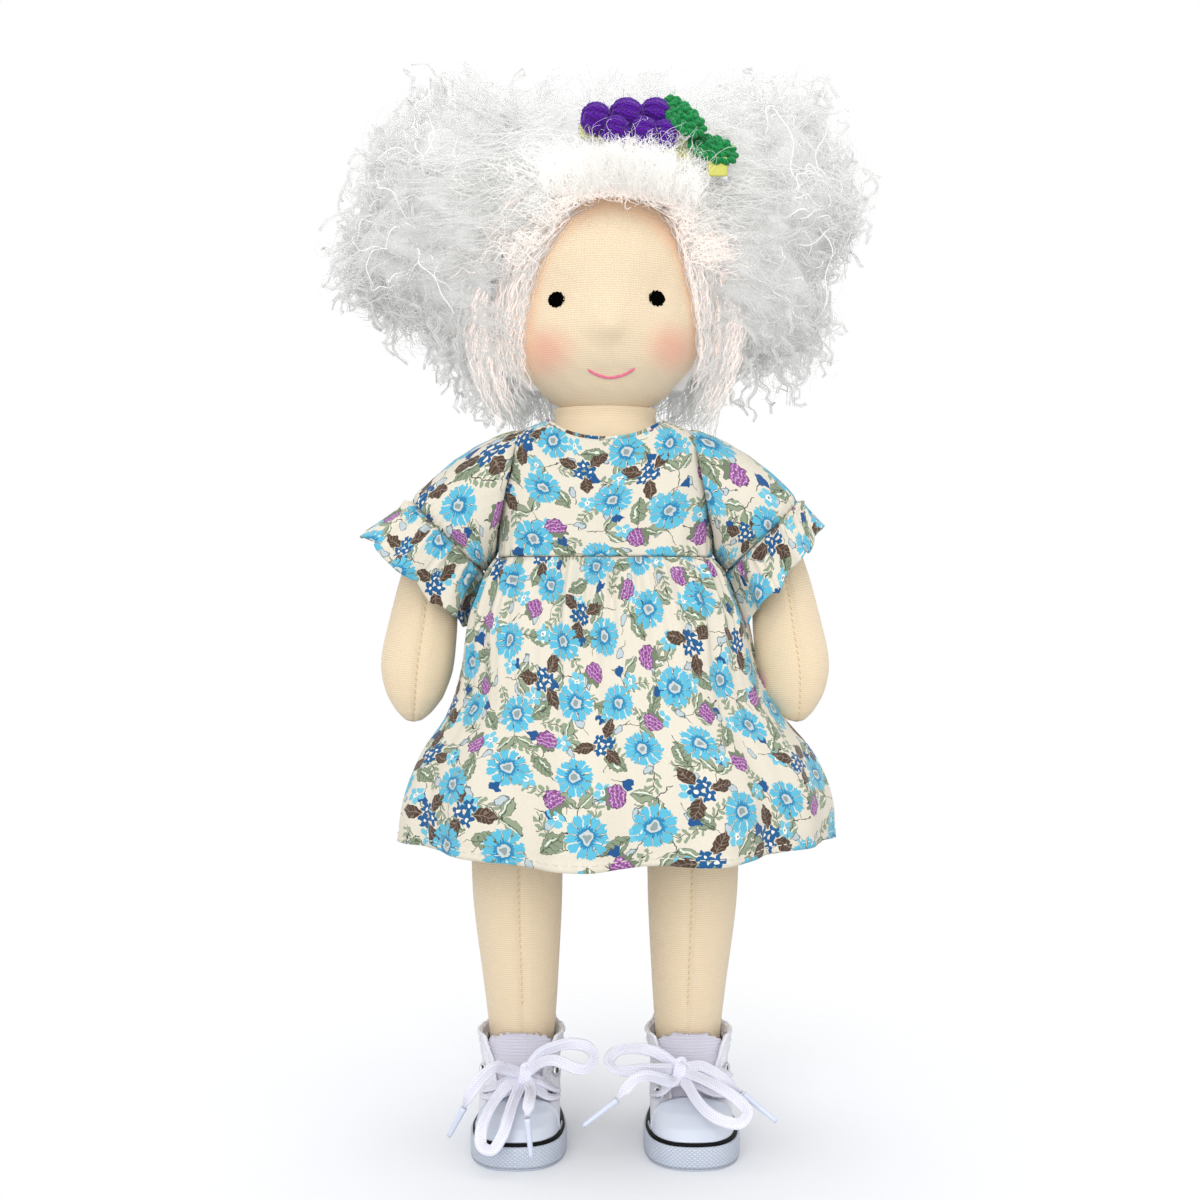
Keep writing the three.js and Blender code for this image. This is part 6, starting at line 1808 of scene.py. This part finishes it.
def makeUpper(side, shift, inner, looks):
    # Each column of the canvas ends at the throat or at the scalloped collar
    s = shoeSize
    columns = []
    for i, (x, y, _) in enumerate(inner):
        collar = s["collar"] + 0.5 * abs(math.sin(i * math.pi / 12)) ** 0.7 + 0.6 * step(y, 2, 14)
        low, high = s["throat"]
        aside = np.clip((abs(x) - low) / (high - low), 0, 1) if y < -6 else 1.0
        top = s["vamp"] + (collar - s["vamp"]) * aside
        columns.append(np.stack([upperAt(inner[i:i + 1], z)[0] for z in np.linspace(7.0, top, 44)]))
    grid = np.stack(columns, 1)
    x, y, z = [grid[..., i] for i in range(3)]
    puff = 0.2 * np.sin(z * 0.9 + x * 0.5) * np.sin(y * 0.45) * step(z, 9, 14)
    flare = 1.1 * step(z, 22, 31) * step(np.abs(x), 4, 9)
    grid = grid + unit(grid * (1, 1, 0) + (0, 4, 0)) * (puff + flare)[..., None]
    upper = skinOf(f"{side}_canvas_upper", grid + shift, looks["canvas"])
    thicken(upper, 0.9)
    place(upper, f"{side}_leg", "canvas", f"{side}_upper")
    rim = np.concatenate([grid[-1], grid[-1][:2]]) + shift
    binding = tubes(f"{side}_collar_binding", rim[None], 0.5, 8, looks["canvas"], alongUv=True)
    place(binding, f"{side}_leg", "canvas")


def makeToeCap(side, shift, inner, looks):
    # Stands proud of the canvas and ends in an arch across the foot
    front = [i for i in range(len(inner)) if inner[i][1] < -15]
    front.sort(key=lambda i: inner[i][0])
    columns = []
    for i in front:
        z = np.linspace(7.4, 15.3, 400)
        line = np.stack([upperAt(inner[i:i + 1], q)[0] for q in z])
        edge = -17.2 - 0.026 * line[:, 0] ** 2
        last = max(3, int(np.searchsorted(line[:, 1] > edge, True)))
        pick = np.linspace(0, last - 1, 40).astype(int)
        columns.append(line[pick])
    grid = np.stack(columns, 1)
    out = unit(np.stack([grid[..., 0] * 0.9, grid[..., 1] + 16, (grid[..., 2] - 6) * 1.2], -1))
    rim = bell(np.arange(40) / 39, 1.0, 0.07)[:, None]
    grid = grid + out * (0.55 + 0.28 * rim)[..., None]
    cap = skinOf(f"{side}_toe_rubber", grid + shift, looks["cap"], closed=False,
                 uv=np.zeros((40, len(front), 2)))
    thicken(cap, 0.7)
    place(cap, f"{side}_leg", "toe_rubber", f"{side}_toe_cap")


def makeTongue(side, sign, shift, looks):
    # Padded, finely ribbed across, its top edge round
    x = np.linspace(-9.4, 9.4, 40)
    frayed = 0.25 * np.abs(np.sin(x * 2.3 + sign)) + 0.15 * np.sin(x * 5.1)
    top = 31.2 - 0.008 * np.abs(x) ** 2.5 + frayed
    z = 11 + (top - 11)[None] * np.linspace(0, 1, 100)[:, None]
    st = np.array(shoeSize["stations"])
    ribs = 0.13 * np.cos(2 * np.pi * z / 0.9)
    y = np.interp(z, st[:, 0], st[:, 1]) + 0.9 + 0.03 * x ** 2 + ribs - 0.03 * (z - 29).clip(0) ** 2
    grid = np.stack([np.broadcast_to(x, z.shape), y, z], -1)
    tongue = skinOf(f"{side}_tongue_cloth", grid + shift, looks["tongue"], closed=False)
    thicken(tongue, 1.4)
    place(tongue, f"{side}_leg", "tongue_cloth", f"{side}_tongue")


def throatPoint(inner, x):
    # Number of the point nearest to x on the front half of the outline
    return int(np.argmin(np.abs(inner[:, 0] - x) + (inner[:, 1] > -5) * 99))


def makeEyelets(side, shift, inner, looks):
    rings, holes = [], []
    a = np.linspace(0, 2 * np.pi, 25)
    for z, off in ((15.6, 9.2), (21.0, 10.6), (26.6, 11.4)):
        for sign in (1, -1):
            i = throatPoint(inner, sign * off)
            p = upperAt(inner[i:i + 1], z)[0]
            q = upperAt(inner[(i + 3) % len(inner):][:1], z)[0]
            over = upperAt(inner[i:i + 1], z + 0.5)[0]
            across, up = unit(q - p), unit(over - p)
            out = unit(np.cross(across, up))
            out = out if out[1] < 0 else -out
            center = p + out * (0.35 + 1.1 * step(z, 22, 31)) + shift
            rings.append(center + 1.55 * (np.cos(a)[:, None] * across + np.sin(a)[:, None] * up))
            # The shade in the hole is painted on a thin dark disc
            holes.append((center - 0.05 * out, across, up))
    ring = tubes(f"{side}_eyelets", np.array(rings), 0.5, 10, looks["silver"])
    place(ring, f"{side}_leg", "aglet")
    for number, (center, across, up) in enumerate(holes):
        spoke = np.cos(a)[:-1, None] * across + np.sin(a)[:-1, None] * up
        disc = center + np.array([1.35, 0.2])[:, None, None] * spoke
        hole = skinOf(f"{side}_eyelet_hole_{number + 1}", disc, looks["dark"], caps=(False, True), flip=True)
        place(hole, f"{side}_leg", "canvas")


def makeShoeStitches(side, shift, inner, looks):
    # Stitch rows beside the throat and under the collar
    paths = []
    for sign in (1, -1):
        for gap in (1.2, 2.0):
            for h in np.arange(13.6, 28.6, 1.45):
                line = []
                for d in np.linspace(0, 0.95, 5):
                    off = np.interp(h + d, [13.4, 30.2], shoeSize["throat"]) + gap
                    i = throatPoint(inner, sign * off)
                    line.append(upperAt(inner[i:i + 1], h + d)[0] * (0, 1, 1) + (sign * off, 0, 0))
                line = np.array(line)
                line[:, 1] -= 0.15 + 0.12 * np.sin(np.linspace(0, np.pi, 5))
                paths.append(line + shift)
    for i in range(0, len(inner), 3):
        if inner[i][1] > -10.5 or abs(inner[i][0]) > 8:
            line = np.stack([upperAt(inner[(i + d) % len(inner):][:1], 27.8)[0] for d in (0, 1, 2)])
            line = line + unit(line * (1, 1, 0))
            paths.append(pointsAt(line, [0, 1, 2], np.linspace(0, 1.6, 5)) + shift)
    place(tubes(f"{side}_shoe_stitches", np.array(paths), 0.16, 5, looks["thread"]), f"{side}_leg", "canvas")


# Rows of lace from the knot to the eyelets, in millimetres
bars = {
    "right": [
        [(-23.2, -18, 22), (-27, -17.6, 20.8), (-31, -15.8, 18.6), (-34, -13.6, 17), (-34.8, -12.2, 16.2)],
        [(-23.2, -18, 22), (-19, -17.6, 20.5), (-16.2, -15.6, 18.2), (-14.8, -13.6, 16.8),
         (-14.4, -12.2, 16.2)],
        [(-23.2, -18, 21), (-27, -19, 18.6), (-31, -18.2, 16.4), (-34, -15.4, 15.4), (-34.8, -13.6, 15)],
        [(-23.2, -18, 21), (-19.6, -19, 18.6), (-16.6, -18, 16.2), (-15, -15.4, 15.2), (-14.4, -13.6, 15)]],
    "left": [
        [(21.2, -18, 23.6), (17.6, -17.4, 22.6), (15.2, -15.6, 21.6), (13.8, -13.4, 21), (13.2, -12, 20.8)],
        [(21.2, -18, 23.6), (26.4, -17, 23.4), (31.4, -15, 22.2), (35.2, -12.6, 21.2), (36, -11.4, 20.8)],
        [(21.2, -18, 22.6), (18.4, -18.8, 20), (16.2, -18, 17.4), (15, -15.4, 16), (14.4, -13.6, 15.4)],
        [(21.2, -18, 22.6), (26, -19, 20.2), (31, -18.2, 17.4), (34.2, -15.4, 16), (35, -13.6, 15.4)]],
}


def makeLacing(side):
    for i, bar in enumerate(bars[side]):
        cord = flatCord(f"{side}_lace_row_{i + 1}", smooth(bar, 40), facing=(0, -0.5, 0.9))
        place(cord, f"{side}_leg", "lace", *([f"{side}_lacing"] if i == 0 else []))
    knot = np.array(routes[side]["knot"])
    a = np.linspace(-0.35 * np.pi, 1.6 * np.pi, 60)
    ring = knot + np.stack([0.5 * np.sin(a), -1.9 * np.cos(a) - 0.4, 2.5 * np.sin(a)], -1)
    place(flatCord(f"{side}_knot_wrap", ring, facing=(0.05, -1, 0.02), width=3.8), f"{side}_leg", "lace")


def makeShoes():
    looks = shoeMaterials()
    inner = soleLoop(2.0)
    for side, sign in bothSides:
        shift = np.array([sign * shoeSize["spread"], 0, 0])
        makeSole(side, shift, looks)
        makeUpper(side, shift, inner, looks)
        makeToeCap(side, shift, inner, looks)
        makeTongue(side, sign, shift, looks)
        makeEyelets(side, shift, inner, looks)
        makeShoeStitches(side, shift, inner, looks)
        makeLacing(side)


makeShoes()
print("shoes made")


# Hair clip: ribbon-bound jaws with crochet grapes and leaves

clip = {"place": np.array([25.0, -27.0, 281.6])}


def clipFrame():
    along = unit(np.array([-0.955, -0.2, 0.2]))
    up = np.array([0.3, -0.72, 0.6])
    up = unit(up - along * (up @ along))
    return along, unit(np.cross(up, along)), up


def toClip(points):
    return clip["place"] + np.asarray(points) @ np.stack(clipFrame())


def yarnMaterial(name, color, deep):
    # Fluffy crochet cotton: matt, with painted shade between its plies in the darker colour deep, with a soft
    # bloom of fine hairs
    made, tree, shader = newMaterial(name, 0.9, color, Sheen_Weight=0.15, Specular_IOR_Level=0.2)
    known = formula(tree, clothPlace(tree), """
        along MULTIPLY u 6.5
        around MULTIPLY v 18.85
        ply ADD along around
        wave SINE ply
        tone MULTIPLY_ADD wave 0.35 0.6
    """)
    # Painted shade: between the plies the colour goes towards deep
    tone = mixColors(tree, known["tone"], linear(deep), linear(color))
    tree.links.new(tone, shader.inputs["Base Color"])
    bumpInto(tree, shader, known["wave"], 0.00012, 0.8)
    return made


def fuzz(name, points, outward, color, reachOut, count):
    # Fine curly hairs that stand off crochet yarn
    chance = np.random.default_rng(len(name))
    pick = chance.integers(0, len(points), count)
    roots, out = points[pick], unit(outward[pick] + 0.9 * chance.normal(size=(count, 3)))
    t = np.linspace(0, 1, 6)[None, :, None]
    bend = chance.normal(size=(count, 1, 3)) * 0.8
    far = reachOut * chance.uniform(0.4, 1.2, (count, 1, 1))
    return tubes(name, roots[:, None] + out[:, None] * t * far + bend * t ** 2, 0.045, 3, color)


# Along and across the clip's lever, and radius
berries = [(30.8, 1.6, 4.3), (22.6, -1.0, 5.0), (14.4, -4.6, 4.8), (25.2, 5.4, 4.0), (17.8, 3.8, 4.2),
           (11.6, 2.4, 3.9)]


# Each leaf: length, width, place along and across the lever, turn, and height of its seat
leaves = [("upper_leaf", 19, 11.0, 7.2, -3.4, -1.12, 10.6), ("lower_leaf", 15.5, 12.2, -2.6, 2.6, 0.1, 7.0)]


def makeGrapes():
    purple = yarnMaterial("purpleCrochetYarn", "#5f14a8", "#2a0550")
    hairsPurple = plainMaterial("purpleYarnBloom", 0.8, "#6c2cae")
    paths, cores = [], []
    for x, y, r in berries:
        top = between(4.9, 2.2, (x - 4) / 30)
        middle = np.array([x, y, top + 0.1 + r])
        # Crochet rounds: the yarn winds from pole to pole and zigzags between two rounds
        t = np.linspace(0.04, 0.96, 620)
        turns = 2 * (r - 0.4) * math.pi / 2 / 1.45
        a = 2 * np.pi * turns * t
        high = np.arccos(1 - 2 * t) + 0.15 * np.sin(a * 9)
        far = r - 0.75 + 0.3 * np.sin(a * 9 + 1.5)
        flat = far * np.sin(high)
        paths.append(middle + np.stack([far * np.cos(high), flat * np.cos(a), flat * np.sin(a)], -1))
        cores.append(middle)
    paths = toClip(np.array(paths))
    grapes = tubes("grape_yarn", paths, 0.74, 6, purple, alongUv=True)
    place(grapes, "clip_jaw", "grape_yarn", "grapes")
    solid = []
    for (x, y, r), middle in zip(berries, cores):
        a = np.linspace(0, np.pi, 14)
        solid.append(toClip(middle + np.stack([-(r - 0.7) * np.cos(a), 0 * a, 0 * a], -1)))
    radii = np.array([(r - 0.7) * np.sin(np.linspace(0.02, np.pi - 0.02, 14)) for _, _, r in berries])
    place(tubes("grape_stuffing", np.array(solid), radii, 20, purple), "clip_jaw", "grape_yarn")
    flatPaths = paths.reshape(-1, 3)
    centers = np.repeat(toClip(np.array(cores)), paths.shape[1], axis=0)
    bloom = fuzz("grape_bloom", flatPaths, unit(flatPaths - centers), hairsPurple, 1.5, 800)
    place(bloom, "clip_jaw", "grape_yarn")


def makeLeaves():
    green = yarnMaterial("greenCrochetYarn", "#0f8f49", "#03602a")
    hairsGreen = plainMaterial("greenYarnBloom", 0.8, "#2fb377")
    for name, length, width, x, y, turn, seat in leaves:
        # A leaf is three crochet rounds about a midrib
        paths = []
        for ring, (part, rise) in enumerate(((0.84, 0.1), (0.56, 0.6), (0.26, 0.95))):
            a = np.linspace(0, 2 * np.pi * 1.01, 260)
            wave = 1 + 0.06 * np.sin(a * (13 - 3 * ring))
            px = length / 2 * part * np.cos(a) * wave
            py = width / 2 * part * np.sin(a) * wave * (1 - 0.22 * np.cos(a))
            pz = rise + 0.35 * np.cos(a * (13 - 3 * ring))
            c, s = math.cos(turn), math.sin(turn)
            paths.append(toClip(np.stack([x + px * c - py * s, y + px * s + py * c, seat + 1.0 + pz], -1)))
        leaf = tubes(f"{name}_yarn", np.array(paths), 0.85, 8, green, alongUv=True)
        place(leaf, "clip_jaw", "leaf_yarn", name)
        t = np.linspace(-1, 1, 16)
        far = length * 0.42 * t
        spine = toClip(np.stack([x + far * math.cos(turn), y + far * math.sin(turn), seat + 1.0 + 0 * t], -1))
        plate = tubes(f"{name}_ground", spine[None], (width * 0.4 * np.sqrt(1.02 - t ** 2))[None], 24, green,
                      facing=clipFrame()[2], flat=0.22, alongUv=True)
        place(plate, "clip_jaw", "leaf_yarn")
        flatPaths = np.concatenate(paths)
        upward = np.broadcast_to(clipFrame()[2], flatPaths.shape)
        place(fuzz(f"{name}_bloom", flatPaths, upward, hairsGreen, 1.2, 260), "clip_jaw", "leaf_yarn")


def makeRibbon():
    ribbon, tree, shader = newMaterial("yellowSatinRibbon", 0.45, "#c9c85a", Sheen_Weight=0.3)
    weave = add(tree, "TexWave", {"Vector": objectPlace(tree), "Scale": 900.0})
    bumpInto(tree, shader, weave.outputs["Fac"], 0.0001, 0.4)
    # The ribbon's folded end shows under the lower leaf
    x, y = squareOval(24, 5)
    z = np.array([276, 276.15, 276.4, 278, 279.6, 281])[:, None] + 0 * x
    edge = np.array([0.9, 1, 0.98, 1.02, 1, 0.95])[:, None]
    grid = np.stack([31.0 + 2.6 * edge * x, -36 + (0.75 * edge * y) - 0.06 * (z - 278), z], -1)
    place(skinOf("ribbon_end", grid, ribbon, caps=(True, True)), "clip_jaw", "ribbon")
    return ribbon


def refineSolids(ribbon):
    # Jaws, pin, hair ties, snaps and hip seam keep their solids and take finer materials
    steel, tree, shader = newMaterial("brightNickelPlatedSteel", 0.25, "#c9cbd0", Metallic=1.0)
    brushed = add(tree, "TexNoise", {"Vector": objectPlace(tree), "Scale": 500.0})
    rough = add(tree, "MapRange", {"Value": brushed.outputs["Fac"], "To Min": 0.18, "To Max": 0.36})
    tree.links.new(rough.outputs[0], shader.inputs["Roughness"])
    elastic, tree, shader = newMaterial("whiteCoveredElastic", 0.85, "#eeeeee", Sheen_Weight=0.3)
    turns = add(tree, "TexWave", {"Vector": objectPlace(tree), "Scale": 700.0})
    bumpInto(tree, shader, turns.outputs["Fac"], 0.0002, 0.5)
    snap = plainMaterial("clearNylonSnap", 0.3, "#e6e6e4", Coat_Weight=0.3)
    for material, names in ((ribbon, ["clip_lever"]), (steel, ["clip_base", "clip_pin"]),
                            (elastic, ["left_hair_tie", "right_hair_tie"]),
                            (snap, ["upper_snap", "lower_snap"]), (skin, ["hip_seam"])):
        for name in names:
            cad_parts[name].material_slots[0].material = material


makeGrapes()
makeLeaves()
refineSolids(makeRibbon())
print("clip made")
